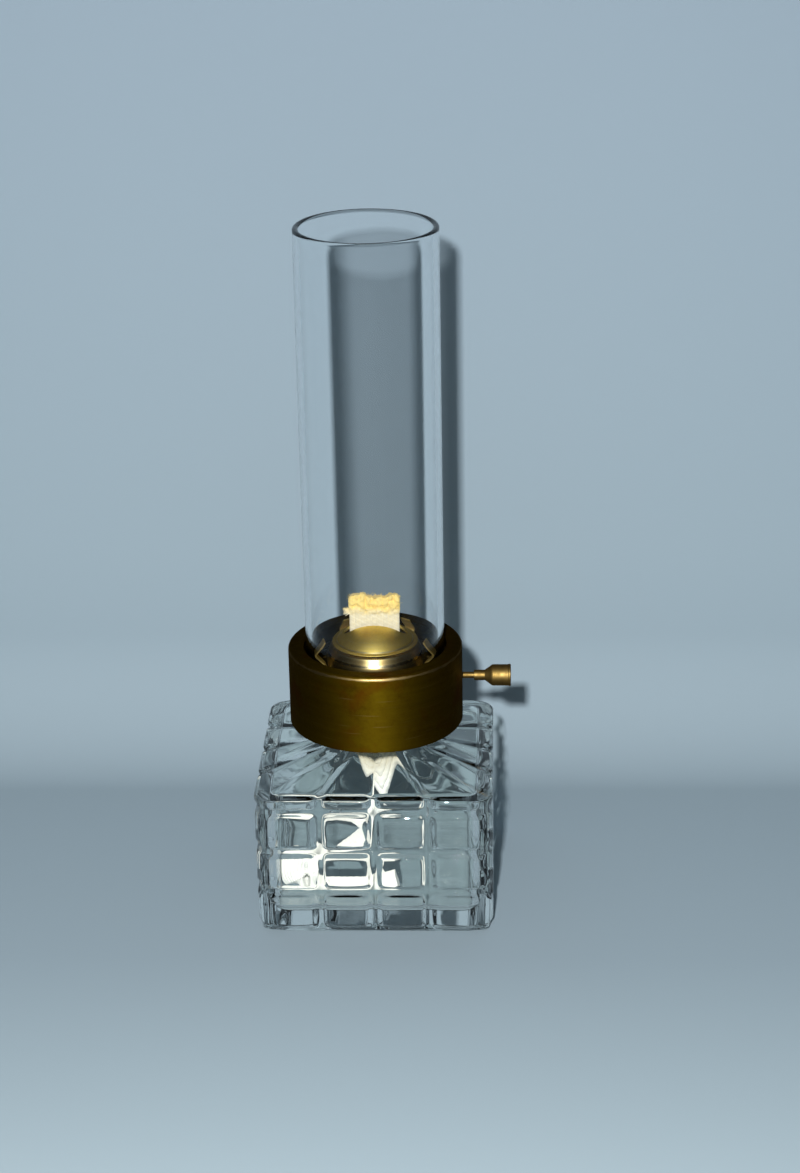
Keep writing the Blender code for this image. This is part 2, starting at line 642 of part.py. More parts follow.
def make_drum(parent):
    """Gallery drum with its top flange turned in round the chimney."""
    round_height = DRUM_TOP_HEIGHT - DRUM_EDGE_ROUND
    corner = DRUM_RADIUS - DRUM_EDGE_ROUND
    outline = [(DRUM_RADIUS, DRUM_BOTTOM_HEIGHT)]
    outline += arc(corner, round_height, DRUM_EDGE_ROUND, 0, 90)
    outline += [
        (DRUM_MOUTH_RADIUS, DRUM_TOP_HEIGHT),
        (DRUM_MOUTH_RADIUS, DRUM_TOP_HEIGHT - DRUM_WALL),
    ]
    outline += arc(corner, round_height, DRUM_EDGE_ROUND - DRUM_WALL, 90, 0, 2)
    outline.append((DRUM_INNER_RADIUS, DRUM_BOTTOM_HEIGHT))
    drum = turned("gallery_drum", outline, "drum_bronze", LARGE_STEPS, parent)
    place = along_x((DRUM_RADIUS, SPINDLE_BEHIND, SPINDLE_HEIGHT))
    length = 2 * (DRUM_WALL + 2 * OVERRUN)
    drilled_holes(drum, "drum_spindle_hole", [place], SPINDLE_RADIUS + SEAT_GAP, length)
    return drum


def away_from_springs(degrees, least):
    """True where that angle is at least so many degrees from each spring."""
    return all(abs((degrees - angle + 180) % 360 - 180) >= least for angle in SPRING_ANGLES)


def make_plate(parent):
    """Perforated floor of the gallery, with both rims turned down."""
    under = PLATE_TOP_HEIGHT - SHEET
    outline = [
        (PLATE_RADIUS, PLATE_RIM_HEIGHT),
        (PLATE_RADIUS, PLATE_TOP_HEIGHT),
        (PLATE_BORE_RADIUS, PLATE_TOP_HEIGHT),
        (PLATE_BORE_RADIUS, PLATE_RIM_HEIGHT),
        (PLATE_BORE_RADIUS + SHEET, PLATE_RIM_HEIGHT),
        (PLATE_BORE_RADIUS + SHEET, under),
        (PLATE_RADIUS - SHEET, under),
        (PLATE_RADIUS - SHEET, PLATE_RIM_HEIGHT),
    ]
    plate = turned("air_plate", outline, "dull_brass", LARGE_STEPS, parent)
    ring_radius = (PLATE_BORE_RADIUS + SHEET + CHIMNEY_INNER_RADIUS) / 2
    spring_degrees = math.degrees(SPRING_WIDTH / ring_radius)
    places = []
    for i in range(PLATE_HOLE_COUNT):
        degrees = 360.0 * i / PLATE_HOLE_COUNT
        if away_from_springs(degrees, spring_degrees):
            turn = Matrix.Rotation(math.radians(degrees), 4, "Z")
            places.append(turn @ Matrix.Translation((ring_radius, 0, PLATE_TOP_HEIGHT)))
    drilled_holes(plate, "plate_holes", places, PLATE_HOLE_RADIUS, 4 * SHEET, steps=8)
    return plate


def dome_arc(top, base, radius):
    """Points from the rim of a spherical cap up to its apex on the axis."""
    rise = top - base
    sphere = (radius**2 + rise**2) / (2 * rise)
    centre = top - sphere
    widest = math.asin(radius / sphere)
    points = []
    for i in range(DOME_SEGMENTS + 1):
        angle = widest * (1 - i / DOME_SEGMENTS)
        points.append((sphere * math.sin(angle), centre + sphere * math.cos(angle)))
    return points


def make_dome(parent):
    """Domed deflector on the barrel, with the slot that the wick and flame come through."""
    bottom = BARREL_TOP_HEIGHT + SEAT_GAP
    lip_top = bottom + DOME_SHEET / 2
    cap_base = lip_top + DOME_LIP_RISE
    outer = dome_arc(DOME_APEX_HEIGHT, cap_base, DOME_CAP_RADIUS)
    inner = dome_arc(DOME_APEX_HEIGHT - DOME_SHEET, bottom, DOME_CAP_RADIUS - DOME_SHEET)
    outline = [(DOME_RADIUS, bottom), (DOME_RADIUS, lip_top)]
    outline += outer
    outline += list(reversed(inner))
    dome = turned("flame_dome", outline, "satin_brass", LARGE_STEPS, parent)
    slot = stadium_bar(SLOT_LENGTH, SLOT_WIDTH, bottom - OVERRUN, DOME_APEX_HEIGHT + OVERRUN)
    hidden_cutter("dome_slot", slot, dome)
    return dome


def make_tube(parent):
    """Flat wick tube, with a window in its back wall for each wheel."""
    bm = stadium_bar(TUBE_WIDTH, TUBE_THICKNESS, TUBE_BOTTOM_HEIGHT, TUBE_TOP_HEIGHT)
    tube = finish_piece("wick_tube", bm, "dull_brass", parent)
    bore = stadium_bar(
        TUBE_INNER_WIDTH,
        TUBE_INNER_THICKNESS,
        TUBE_BOTTOM_HEIGHT - OVERRUN,
        TUBE_TOP_HEIGHT + OVERRUN,
    )
    hidden_cutter("tube_bore", bore, tube)
    windows = bmesh.new()
    window_size = (WHEEL_THICKNESS + 2 * SEAT_GAP, TUBE_THICKNESS / 2, 2 * (WHEEL_RADIUS + SEAT_GAP))
    for side in (-1, 1):
        place = Vector((side * WHEEL_SPACING / 2, TUBE_THICKNESS / 2, SPINDLE_HEIGHT))
        matrix = Matrix.Translation(place) @ Matrix.Diagonal((*window_size, 1.0))
        bmesh.ops.create_cube(windows, size=1.0, matrix=matrix)
    hidden_cutter("tube_windows", windows, tube)
    return tube


def make_bracket(parent):
    """Channel behind the wick tube, whose two ears carry the spindle."""
    front = -TUBE_THICKNESS / 2
    web = SPINDLE_BEHIND + WHEEL_RADIUS + 2 * SEAT_GAP
    back = web + BRACKET_SHEET
    outline = [
        (-BRACKET_OUTER, front),
        (-BRACKET_INNER, front),
        (-BRACKET_INNER, web),
        (BRACKET_INNER, web),
        (BRACKET_INNER, front),
        (BRACKET_OUTER, front),
        (BRACKET_OUTER, back),
        (-BRACKET_OUTER, back),
    ]
    bm = bmesh.new()
    rings = [[(x, y, z) for x, y in outline] for z in (BRACKET_BOTTOM_HEIGHT, BRACKET_TOP_HEIGHT)]
    loft(bm, rings)
    bracket = finish_piece("spindle_bracket", bm, "dull_brass", parent)
    place = along_x((0, SPINDLE_BEHIND, SPINDLE_HEIGHT))
    length = 2 * (BRACKET_OUTER + OVERRUN)
    drilled_holes(bracket, "bracket_bore", [place], SPINDLE_BORE_RADIUS, length)
    return bracket


def make_springs(parent):
    """Bowed leaf springs, all from one mesh, that stand on the plate round the barrel."""
    inner = PLATE_BORE_RADIUS
    outer = CHIMNEY_INNER_RADIUS - SPRING_CHIMNEY_GAP - SPRING_SHEET / 2
    foot = PLATE_TOP_HEIGHT + SEAT_GAP + SPRING_SHEET / 2
    knots = [
        (inner + (outer - inner) * out, 0, foot + (SPRING_TOP_HEIGHT - foot) * up)
        for out, up in SPRING_SHARES
    ]
    line = smooth_route(knots, SPRING_STEPS)
    bm = bmesh.new()
    rings = []
    for i, point in enumerate(line):
        before = line[max(i - 1, 0)]
        after = line[min(i + 1, len(line) - 1)]
        tangent = (after - before).normalized()
        across = Vector((tangent.z, 0, -tangent.x)) * SPRING_SHEET / 2
        side = Vector((0, SPRING_WIDTH / 2, 0))
        near, far = point - across, point + across
        rings.append([near - side, far - side, far + side, near + side])
    loft(bm, rings)
    first = finish_piece("chimney_spring_1", bm, "spring_brass", parent)
    springs = [first]
    for number in range(2, len(SPRING_ANGLES) + 1):
        spring = bpy.data.objects.new(f"chimney_spring_{number}", first.data)
        spring.parent = parent
        bpy.context.scene.collection.objects.link(spring)
        springs.append(spring)
    for spring, degrees in zip(springs, SPRING_ANGLES):
        spring.rotation_euler.z = math.radians(degrees)
    return springs


def make_wheel(name, along, parent):
    """Toothed wheel on the spindle, at that distance along it."""
    root = WHEEL_RADIUS - WHEEL_TOOTH_DEPTH
    tooth = math.tau / WHEEL_TEETH
    tip_half = tooth * WHEEL_TOOTH_TIP_SHARE / 2
    root_half = tooth * WHEEL_TOOTH_ROOT_SHARE / 2
    corners = ((root, -root_half), (WHEEL_RADIUS, -tip_half), (WHEEL_RADIUS, tip_half), (root, root_half))
    rings = []
    for height in (along - WHEEL_THICKNESS / 2, along + WHEEL_THICKNESS / 2):
        ring = []
        for i in range(WHEEL_TEETH):
            for radius, offset in corners:
                angle = i * tooth + offset
                ring.append((radius * math.cos(angle), radius * math.sin(angle), height))
        rings.append(ring)
    bm = bmesh.new()
    loft(bm, rings)
    wheel = finish_piece(name, bm, "dull_brass", parent)
    bore = drilled_holes(
        wheel,
        f"{name}_bore",
        [Matrix.Translation((0, 0, along))],
        SPINDLE_BORE_RADIUS,
        WHEEL_THICKNESS + 2 * OVERRUN,
    )
    bore.parent = parent
    return wheel


def make_spindle_set(parent):
    """Spindle, wheels, collar and knob, turned on the spindle's own axis."""
    knob_end = KNOB_HUB_START + KNOB_LENGTH
    bore_end = knob_end - KNOB_FACE_THICKNESS
    shaft_start = -BRACKET_OUTER - SPINDLE_END
    shaft_end = bore_end - SEAT_GAP
    shaft = [
        (0, shaft_start),
        (SPINDLE_RADIUS, shaft_start),
        (SPINDLE_RADIUS, shaft_end),
        (0, shaft_end),
    ]
    turned("wick_spindle", shaft, "bright_brass", SMALL_STEPS, parent)
    make_wheel("wick_wheel_left", -WHEEL_SPACING / 2, parent)
    make_wheel("wick_wheel_right", WHEEL_SPACING / 2, parent)

    collar_start = BRACKET_OUTER + SEAT_GAP
    collar_end = collar_start + COLLAR_WIDTH
    collar = [
        (SPINDLE_BORE_RADIUS, collar_start),
        (COLLAR_RADIUS, collar_start),
        (COLLAR_RADIUS, collar_end),
        (SPINDLE_BORE_RADIUS, collar_end),
    ]
    turned("spindle_collar", collar, "dull_brass", SMALL_STEPS, parent)

    cone_start = KNOB_HUB_START + KNOB_HUB_LENGTH
    barrel_start = cone_start + KNOB_CONE_LENGTH
    rim_start = knob_end - KNOB_RIM_WIDTH
    rim_radius = KNOB_RADIUS + KNOB_RIM_STEP
    knob = [
        (SPINDLE_BORE_RADIUS, KNOB_HUB_START),
        (KNOB_HUB_RADIUS, KNOB_HUB_START),
        (KNOB_HUB_RADIUS, cone_start),
        (KNOB_RADIUS - KNOB_ROUND, barrel_start),
        (KNOB_RADIUS, barrel_start + KNOB_ROUND),
        (KNOB_RADIUS, rim_start),
        (rim_radius, rim_start + KNOB_RIM_STEP),
        (rim_radius, knob_end - KNOB_RIM_STEP),
        (rim_radius - KNOB_RIM_STEP, knob_end),
        (0, knob_end),
        (0, bore_end),
        (SPINDLE_BORE_RADIUS, bore_end),
    ]
    turned("wick_knob", knob, "bright_brass", SMALL_STEPS, parent)


def flat_section(width, thickness, centre, across, through):
    """Six-sided section of a flat wick at a point, given the directions of its width and thickness."""
    half, deep = width / 2, thickness / 2
    corners = ((-1, 0), (-0.86, -1), (0.86, -1), (1, 0), (0.86, 1), (-0.86, 1))
    return [centre + across * (half * a) + through * (deep * b) for a, b in corners]


def make_wick(parent):
    """Flat cotton wick in the tube, with a frayed, slightly swollen head."""
    head_bottom = WICK_TOP_HEIGHT - WICK_HEAD_HEIGHT
    levels = [(WICK_BOTTOM_HEIGHT, 0.0, 0.0, 0.0)]
    for up, swell, taper, wave in WICK_HEAD_SHARES:
        levels.append((head_bottom + (WICK_HEAD_HEIGHT - WICK_TOP_WAVE) * up, swell, taper, wave))
    steps = 4 * WICK_WAVE_COUNT
    rings = []
    for height, swell, taper, wave in levels:
        width = WICK_WIDTH + 2 * WICK_HEAD_SWELL * swell - WICK_THICKNESS / 2 * taper
        thickness = (WICK_THICKNESS + 2 * WICK_HEAD_SWELL * swell) * (1 - taper / 2)
        front = []
        for i in range(steps + 1):
            share = 2 * i / steps - 1
            lift = WICK_TOP_WAVE * wave * math.sin(share * math.pi * WICK_WAVE_COUNT + share)
            edge = 1 - (1 - WICK_EDGE_SHARE) * abs(share) ** WICK_EDGE_POWER
            front.append(Vector((share * width / 2, -thickness / 2 * edge, height + lift)))
        back = [Vector((p.x, -p.y, p.z)) for p in reversed(front)]
        rings.append(front + back)
    bm = bmesh.new()
    loft(bm, rings)
    return finish_piece("wick", bm, "cotton", parent)


def make_tail(parent):
    """Loose end of the wick: down the neck, round in a curl and along the floor of the font."""
    lowest = FONT_FLOOR + SEAT_GAP + WICK_THICKNESS / 2
    highest = WICK_BOTTOM_HEIGHT - SEAT_GAP
    knots = [
        (HOLLOW_HALF * x, HOLLOW_HALF * y, lowest + (highest - lowest) * z)
        for x, y, z in TAIL_ROUTE_SHARES
    ]
    line = smooth_route(knots, TAIL_STEPS)
    rings = []
    for i, point in enumerate(line):
        before = line[max(i - 1, 0)]
        after = line[min(i + 1, len(line) - 1)]
        tangent = (after - before).normalized() if i else Vector((0, 0, -1))
        twist = min(1.0, i / (len(line) - 1) / TAIL_TWIST_SHARE)
        angle = math.pi / 2 * twist**2 * (3 - 2 * twist)
        hint = Vector((math.cos(angle), math.sin(angle), 0))
        across = (hint - tangent * hint.dot(tangent)).normalized()
        through = tangent.cross(across)
        section = flat_section(WICK_WIDTH, WICK_THICKNESS, point, across, through)
        sunk = FONT_FLOOR + SEAT_GAP - min(corner.z for corner in section)
        lift = Vector((0, 0, max(0.0, sunk)))
        rings.append([corner + lift for corner in section])
    bm = bmesh.new()
    loft(bm, rings)
    return finish_piece("wick_tail", bm, "cotton", parent)


def make_chimney(parent):
    """Straight glass chimney with fire-polished ends."""
    middle = CHIMNEY_RADIUS - CHIMNEY_WALL / 2
    round_radius = CHIMNEY_WALL / 2
    outline = arc(middle, CHIMNEY_BOTTOM + round_radius, round_radius, -180, 0, RIM_SEGMENTS)
    outline += arc(middle, CHIMNEY_TOP_HEIGHT - round_radius, round_radius, 0, 180, RIM_SEGMENTS)
    return turned("chimney_glass", outline, "chimney_glass", LARGE_STEPS, parent)


def build_lamp():
    clear_scene()
    thread_axis = axis_empty("thread_axis")
    burner_axis = axis_empty("burner_axis")
    spindle_axis = axis_empty(
        "spindle_axis", (0, SPINDLE_BEHIND, SPINDLE_HEIGHT), (0, math.pi / 2, 0)
    )
    wick_axis = axis_empty("wick_axis")
    chimney_axis = axis_empty("chimney_axis")

    make_font()
    make_gasket(thread_axis)
    make_cap(burner_axis)
    make_barrel(burner_axis)
    make_drum(burner_axis)
    make_plate(burner_axis)
    make_dome(burner_axis)
    make_tube(burner_axis)
    make_bracket(burner_axis)
    make_springs(burner_axis)
    make_tail(burner_axis)
    make_spindle_set(spindle_axis)
    make_wick(wick_axis)
    make_chimney(chimney_axis)


build_lamp()
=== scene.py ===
# %% [markdown]
# # A miniature oil lamp
# The lamp is a square pressed glass font with a brass burner screwed on its neck, a dark
# bronze gallery drum and a plain glass chimney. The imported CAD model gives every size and
# place. This lesson dresses it: each piece is modelled again where its surface needs more
# than the plain solid has, and each finish is built from nodes.

# %% Loading the frame
import json
import math
import random

import bmesh
import bpy
from mathutils import Matrix, Vector, noise


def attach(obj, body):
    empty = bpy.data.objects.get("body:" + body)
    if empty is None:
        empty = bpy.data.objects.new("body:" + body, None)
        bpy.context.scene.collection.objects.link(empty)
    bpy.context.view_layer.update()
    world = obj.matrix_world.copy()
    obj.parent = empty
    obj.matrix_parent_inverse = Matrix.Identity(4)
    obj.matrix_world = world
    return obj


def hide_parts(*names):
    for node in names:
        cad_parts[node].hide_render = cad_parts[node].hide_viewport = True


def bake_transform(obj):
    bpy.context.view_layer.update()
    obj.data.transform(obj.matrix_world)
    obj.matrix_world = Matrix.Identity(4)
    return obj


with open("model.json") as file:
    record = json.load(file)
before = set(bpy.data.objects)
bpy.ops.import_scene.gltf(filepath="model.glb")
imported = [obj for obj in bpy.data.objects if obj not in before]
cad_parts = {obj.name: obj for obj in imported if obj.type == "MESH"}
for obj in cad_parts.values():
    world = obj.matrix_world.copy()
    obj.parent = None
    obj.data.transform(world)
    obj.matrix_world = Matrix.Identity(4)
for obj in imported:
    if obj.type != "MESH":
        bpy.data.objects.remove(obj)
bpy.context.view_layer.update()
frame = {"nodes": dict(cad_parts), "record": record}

MM = 0.001

# %% [markdown]
# ## A bench for wiring nodes
# Every finish below is a node tree. Placing a node, setting its values and running a wire
# to it are the same steps each time, so one small helper does them.

# %% The bench
class Bench:
    """A node tree under work. add() places a node and sets or wires its inputs."""

    def __init__(self, tree):
        self.tree = tree

    def add(self, kind, inputs=None, **settings):
        node = self.tree.nodes.new(f"ShaderNode{kind}")
        for name, value in settings.items():
            setattr(node, name, value)
        self.fill(node.inputs, inputs or {})
        return node

    def fill(self, sockets, values):
        """Sets each of the named sockets to its value, or wires another socket to it."""
        for key, value in values.items():
            if isinstance(value, bpy.types.NodeSocket):
                self.tree.links.new(value, sockets[key])
            else:
                sockets[key].default_value = value

    def group(self, tree, inputs):
        """Places a node group with its own values."""
        return self.add("Group", inputs, node_tree=tree).outputs

    def place(self):
        """The point on the object, in its own frame."""
        return self.add("TexCoord").outputs["Object"]

    def parts(self, vector):
        """The three numbers of a vector."""
        return self.add("SeparateXYZ", {0: vector}).outputs

    def maths(self, operation, *values):
        """One number worked out from others."""
        return self.add("Math", dict(enumerate(values)), operation=operation).outputs[0]

    def length(self, first, second):
        """How long two numbers are together, at a right angle."""
        squares = [self.maths("POWER", side, 2.0) for side in (first, second)]
        return self.maths("SQRT", self.maths("ADD", *squares))

    def blend(self, share, first, second):
        """A colour between two others."""
        mix = self.add("Mix", {0: share, 6: first, 7: second}, data_type="RGBA")
        return mix.outputs[2]

    def span(self, value, low, high, out_low=0.0, out_high=1.0):
        """The value as a share of the way from low to high, clamped."""
        inputs = {0: value, 1: low, 2: high, 3: out_low, 4: out_high}
        return self.add("MapRange", inputs).outputs[0]

    def noise(self, vector, scale, detail, roughness=0.5):
        """Clouds from 0 to 1."""
        inputs = {"Vector": vector, "Scale": scale, "Detail": detail, "Roughness": roughness}
        return self.add("TexNoise", inputs).outputs["Fac"]

    def bump(self, height, distance, strength=1.0):
        """A normal tilted by a height, whose 1 is that distance in metres."""
        inputs = {"Height": height, "Distance": distance, "Strength": strength}
        return self.add("Bump", inputs).outputs[0]


def new_group(name, inputs, outputs):
    """An empty node group: its bench and its two ends. A number is a Float's first value."""
    tree = bpy.data.node_groups.new(name, "ShaderNodeTree")
    for label, given in inputs.items():
        kind = given if isinstance(given, str) else "Float"
        socket = tree.interface.new_socket(
            name=label, in_out="INPUT", socket_type=f"NodeSocket{kind}")
        if kind == "Float":
            socket.default_value = given
    for label, kind in outputs.items():
        tree.interface.new_socket(
            name=label, in_out="OUTPUT", socket_type=f"NodeSocket{kind}")
    print("group:", name)
    ends = [tree.nodes.new("NodeGroupInput").outputs, tree.nodes.new("NodeGroupOutput").inputs]
    return Bench(tree), *ends


def new_material(name):
    """A material, its bench, its shader and the node that puts it out."""
    made = bpy.data.materials.new(name)
    made.use_nodes = True
    nodes = made.node_tree.nodes
    return made, Bench(made.node_tree), nodes["Principled BSDF"], nodes["Material Output"]


def rgba(colour):
    return (*colour, 1.0)


def mirrored_in_metal(bench):
    """1 for a ray that satin metal mirrors, 0 for the sharp rays of clear glass."""
    rays = bench.add("LightPath").outputs
    sharp = bench.maths("MAXIMUM", rays["Is Transmission Ray"], rays["Is Singular Ray"])
    return bench.maths("GREATER_THAN", rays["Is Glossy Ray"], sharp)


def in_scene(name, data):
    """A new object in the scene."""
    made = bpy.data.objects.new(name, data)
    bpy.context.scene.collection.objects.link(made)
    return made


def smooth_object(name, bm, material):
    """A bmesh as a smooth shaded object."""
    mesh = bpy.data.meshes.new(name)
    bm.to_mesh(mesh)
    bm.free()
    mesh.shade_smooth()
    mesh.materials.append(material)
    return in_scene(name, mesh)


print("bench ready")

# %% [markdown]
# ## The camera
# The photograph looks down on the lamp by about 22 degrees, from a little to its right,
# with a long lens. Its place was found by fitting the rings of the chimney, the drum and
# the font's edges, so the camera is set by numbers and not by eye.

# %% Camera at the photograph's angle
CAMERA_PLACE = (0.03178, -0.58241, 0.32284)
CAMERA_HEADING, CAMERA_DIP, CAMERA_ROLL = 2.4729, 22.3037, -1.0854
LENS_MM, SENSOR_MM = 76.57, 36.0

eye = bpy.data.cameras.new("eye")
eye.lens, eye.sensor_width = LENS_MM, SENSOR_MM
eye.clip_start, eye.clip_end = 0.01, 20.0
camera = in_scene("camera", eye)
turn = Matrix.Rotation(math.radians(CAMERA_HEADING), 4, "Z")
turn @= Matrix.Rotation(math.radians(90.0 - CAMERA_DIP), 4, "X")
turn @= Matrix.Rotation(math.radians(CAMERA_ROLL), 4, "Z")
camera.matrix_world = Matrix.Translation(CAMERA_PLACE) @ turn
bpy.context.scene.camera = camera
bpy.context.scene.view_settings.view_transform = "Standard"
print("camera at", CAMERA_PLACE, "lens", LENS_MM)

# %% [markdown]
# ## Floor and backdrop
# The lamp stands on a pale blue-grey sheet that bends up close behind it, and the flash
# throws the lamp's soft shadow on it. One strip is swept from the floor into the wall.
# The wall can be seen through from behind, so that the lamp can be looked at from there.

# %% The swept sheet
SHEET_HALF_WIDTH = 0.9
FLOOR_DROP = 0.1 * MM
BEND_START, BEND_RADIUS = 0.0515, 0.034
WALL_TOP, FLOOR_REACH = 0.9, 1.4
BEND_STEPS = 24
STAGE_COLOUR = (0.268, 0.338, 0.383)
# Painted light falloff: the sheet is paler in front of the lamp and darker high up
STAGE_PAINTED_LIGHT_FRONT, FRONT_Y = (0.340, 0.422, 0.462), (-0.04, -0.15)
STAGE_PAINTED_SHADE_HIGH, HIGH_Z = (0.210, 0.266, 0.318), (0.06, 0.28)
STAGE_MIRRORED = (0.012, 0.012, 0.011)  # seen in metal, as if the room beyond were dark


def swept_sheet():
    """Floor, bend and wall as one strip of faces."""
    line = [(-FLOOR_REACH, -FLOOR_DROP)]
    for i in range(BEND_STEPS + 1):
        angle = math.pi / 2 * i / BEND_STEPS
        out, up = BEND_RADIUS * math.sin(angle), BEND_RADIUS * (1 - math.cos(angle))
        line.append((BEND_START + out, up - FLOOR_DROP))
    line.append((BEND_START + BEND_RADIUS, WALL_TOP))
    bm = bmesh.new()
    verts = [bm.verts.new((-SHEET_HALF_WIDTH, y, z)) for y, z in line]
    edges = [bm.edges.new(pair) for pair in zip(verts, verts[1:])]
    swept = bmesh.ops.extrude_edge_only(bm, edges=edges)["geom"]
    far = [v for v in swept if isinstance(v, bmesh.types.BMVert)]
    bmesh.ops.translate(bm, verts=far, vec=(2 * SHEET_HALF_WIDTH, 0, 0))
    bmesh.ops.recalc_face_normals(bm, faces=bm.faces)
    bm.faces.ensure_lookup_table()
    if bm.faces[0].normal.z < 0:
        bmesh.ops.reverse_faces(bm, faces=bm.faces)
    return bm


def stage_object(name, bm, material):
    made = smooth_object(name, bm, material)
    return made


def stage_material(name, see_through_back):
    made, bench, shader, output = new_material(name)
    place = bench.parts(bench.place())
    # painted light in front and painted shade high up, as the light falls off
    tone = bench.blend(bench.span(place[1], *FRONT_Y), rgba(STAGE_COLOUR), rgba(STAGE_PAINTED_LIGHT_FRONT))
    tone = bench.blend(bench.span(place[2], *HIGH_Z), tone, rgba(STAGE_PAINTED_SHADE_HIGH))
    # painted reflection: metal mirrors the sheet nearly black, as if the room beyond were dark
    tone = bench.blend(mirrored_in_metal(bench), tone, rgba(STAGE_MIRRORED))
    bench.fill(shader.inputs, {"Base Color": tone, "Roughness": 0.95, "Specular IOR Level": 0.1})
    if see_through_back:
        behind = bench.add("NewGeometry").outputs["Backfacing"]
        clear = bench.add("BsdfTransparent").outputs[0]
        mixed = bench.add("MixShader", {0: behind, 1: shader.outputs[0], 2: clear})
        bench.fill(output.inputs, {"Surface": mixed.outputs[0]})
    return made


backdrop = stage_object("backdrop", swept_sheet(), stage_material("stage_sheet", True))
rear = bmesh.new()
bmesh.ops.create_grid(rear, x_segments=1, y_segments=1, size=FLOOR_REACH)
rear_place = (0, FLOOR_REACH + BEND_START, -2 * FLOOR_DROP)
bmesh.ops.translate(rear, verts=rear.verts, vec=rear_place)
stage_object("rear_floor", rear, stage_material("stage_floor", False))
print("backdrop", [round(v, 3) for v in backdrop.dimensions])

# %% [markdown]
# ## Light
# The photograph was lit by a flash just above the lens and a little to its left. A small
# square lamp keeps that place, so that the shadow falls to the right with a soft edge.
# Large weak lamps and a grey world fill in the rest. Metal mirrors only the key lamp.

# %% Lamps and world
AIM = Vector((0, 0, 0.085))


def soft_lamp(name, place, size, watts, mirrored=False):
    """A square lamp turned towards the middle of the object."""
    data = bpy.data.lights.new(name, "AREA")
    data.size, data.energy = size, watts
    lamp = in_scene(name, data)
    lamp.visible_glossy = mirrored
    lamp.location = place
    lamp.rotation_euler = (AIM - Vector(place)).to_track_quat("-Z", "Y").to_euler()


soft_lamp("key", (-0.005, -0.60, 0.380), 0.018, 6.75, mirrored=True)
soft_lamp("fill_left", (-0.75, -0.35, 0.55), 0.6, 0.28)
soft_lamp("fill_right", (0.75, -0.25, 0.45), 0.6, 0.15)
soft_lamp("fill_top", (0.0, -0.45, 0.95), 0.7, 0.4)

WORLD_SEEN = (0.33, 0.41, 0.46)
WORLD_LIGHT = (0.04, 0.0425, 0.0445)
WORLD_MIRRORED = (0.006, 0.006, 0.006)
world = bpy.data.worlds.new("room")
bpy.context.scene.world = world
world.use_nodes = True
room = Bench(world.node_tree)
path = room.add("LightPath").outputs
seen = room.maths("MAXIMUM", path["Is Camera Ray"], path["Is Transmission Ray"])
unseen = room.blend(mirrored_in_metal(room), rgba(WORLD_LIGHT), rgba(WORLD_MIRRORED))
tone = room.blend(seen, unseen, rgba(WORLD_SEEN))
room.fill(world.node_tree.nodes["Background"].inputs, {"Color": tone})

# %% [markdown]
# ## Shared surface effects
# Brass that was turned or spun carries very fine rings round its axis, it tarnishes in
# soft patches, it is scratched, and it wears bright where hands and the chimney touch it.
# On the drum the worn ring is also a painted highlight, laid where a lamp mirrors.
# Each effect is a node group, so every metal piece can carry it with its own values.

# %% Rings left by the lathe
def make_spun_marks():
    """Fine rings round Z: noise that reads only the radius and the height."""
    bench, given, result = new_group("spun marks", {"Vector": "Vector", "Spacing": 0.0003},
                                     {"Height": "Float", "Streak": "Float"})
    part = bench.parts(given["Vector"])
    section = bench.add("CombineXYZ", {0: bench.length(part[0], part[1]), 2: part[2]}).outputs[0]
    rings = bench.maths("DIVIDE", 1.0, given["Spacing"])
    scaled = bench.add("VectorMath", {0: section, "Scale": rings}, operation="SCALE").outputs[0]
    wide = bench.span(bench.noise(scaled, 0.16, 2.0), 0.35, 0.65)
    bench.fill(result, {"Height": bench.noise(scaled, 1.0, 4.0, 0.65), "Streak": wide})
    return bench.tree


SPUN = make_spun_marks()

# %% Patches of tarnish
def make_tarnish():
    """Mottled colour between a clean and a dark tone, with warm spots."""
    bench, given, result = new_group(
        "tarnish",
        {"Vector": "Vector", "Clean": "Color", "Dark": "Color", "Warm": "Color",
         "Scale": 140.0, "Amount": 0.5},
        {"Colour": "Color", "Mask": "Float"},
    )
    place, scale, amount = given["Vector"], given["Scale"], given["Amount"]
    large = bench.noise(place, scale, 5.0)
    small = bench.noise(place, bench.maths("MULTIPLY", scale, 7.0), 6.0, 0.7)
    both = bench.maths("MULTIPLY_ADD", small, 0.4, bench.maths("MULTIPLY", large, 0.6))
    patch = bench.maths("MULTIPLY", bench.span(both, 0.40, 0.62), amount)
    colour = bench.blend(patch, given["Clean"], given["Dark"])
    shifted = bench.add("VectorMath", {0: place, 1: (3.1, 1.7, 2.3)}, operation="ADD").outputs[0]
    spots = bench.span(bench.noise(shifted, scale, 3.0), 0.5, 0.72)
    warm = bench.maths("MULTIPLY", spots, amount)
    bench.fill(result, {"Colour": bench.blend(warm, colour, given["Warm"]), "Mask": patch})
    return bench.tree


TARNISH = make_tarnish()

# %% Hairline scratches
def make_scratches():
    """Short thin lines in two directions: stretched noise cut at a narrow level."""
    bench, given, result = new_group(
        "scratches", {"Vector": "Vector", "Length": 90.0, "Fineness": 2600.0}, {"Mask": "Float"})
    size = {0: given["Length"], 1: given["Length"], 2: given["Fineness"]}
    stretch = bench.add("CombineXYZ", size).outputs[0]
    masks = []
    for angle in (0.35, -0.9):
        layout = {"Vector": given["Vector"], "Rotation": (angle, angle / 2, 0.0), "Scale": stretch}
        line = bench.noise(bench.add("Mapping", layout).outputs[0], 1.0, 1.0)
        masks.append(bench.span(line, 0.70, 0.76))
    bench.fill(result, {"Mask": bench.maths("MAXIMUM", *masks)})
    return bench.tree


SCRATCHES = make_scratches()
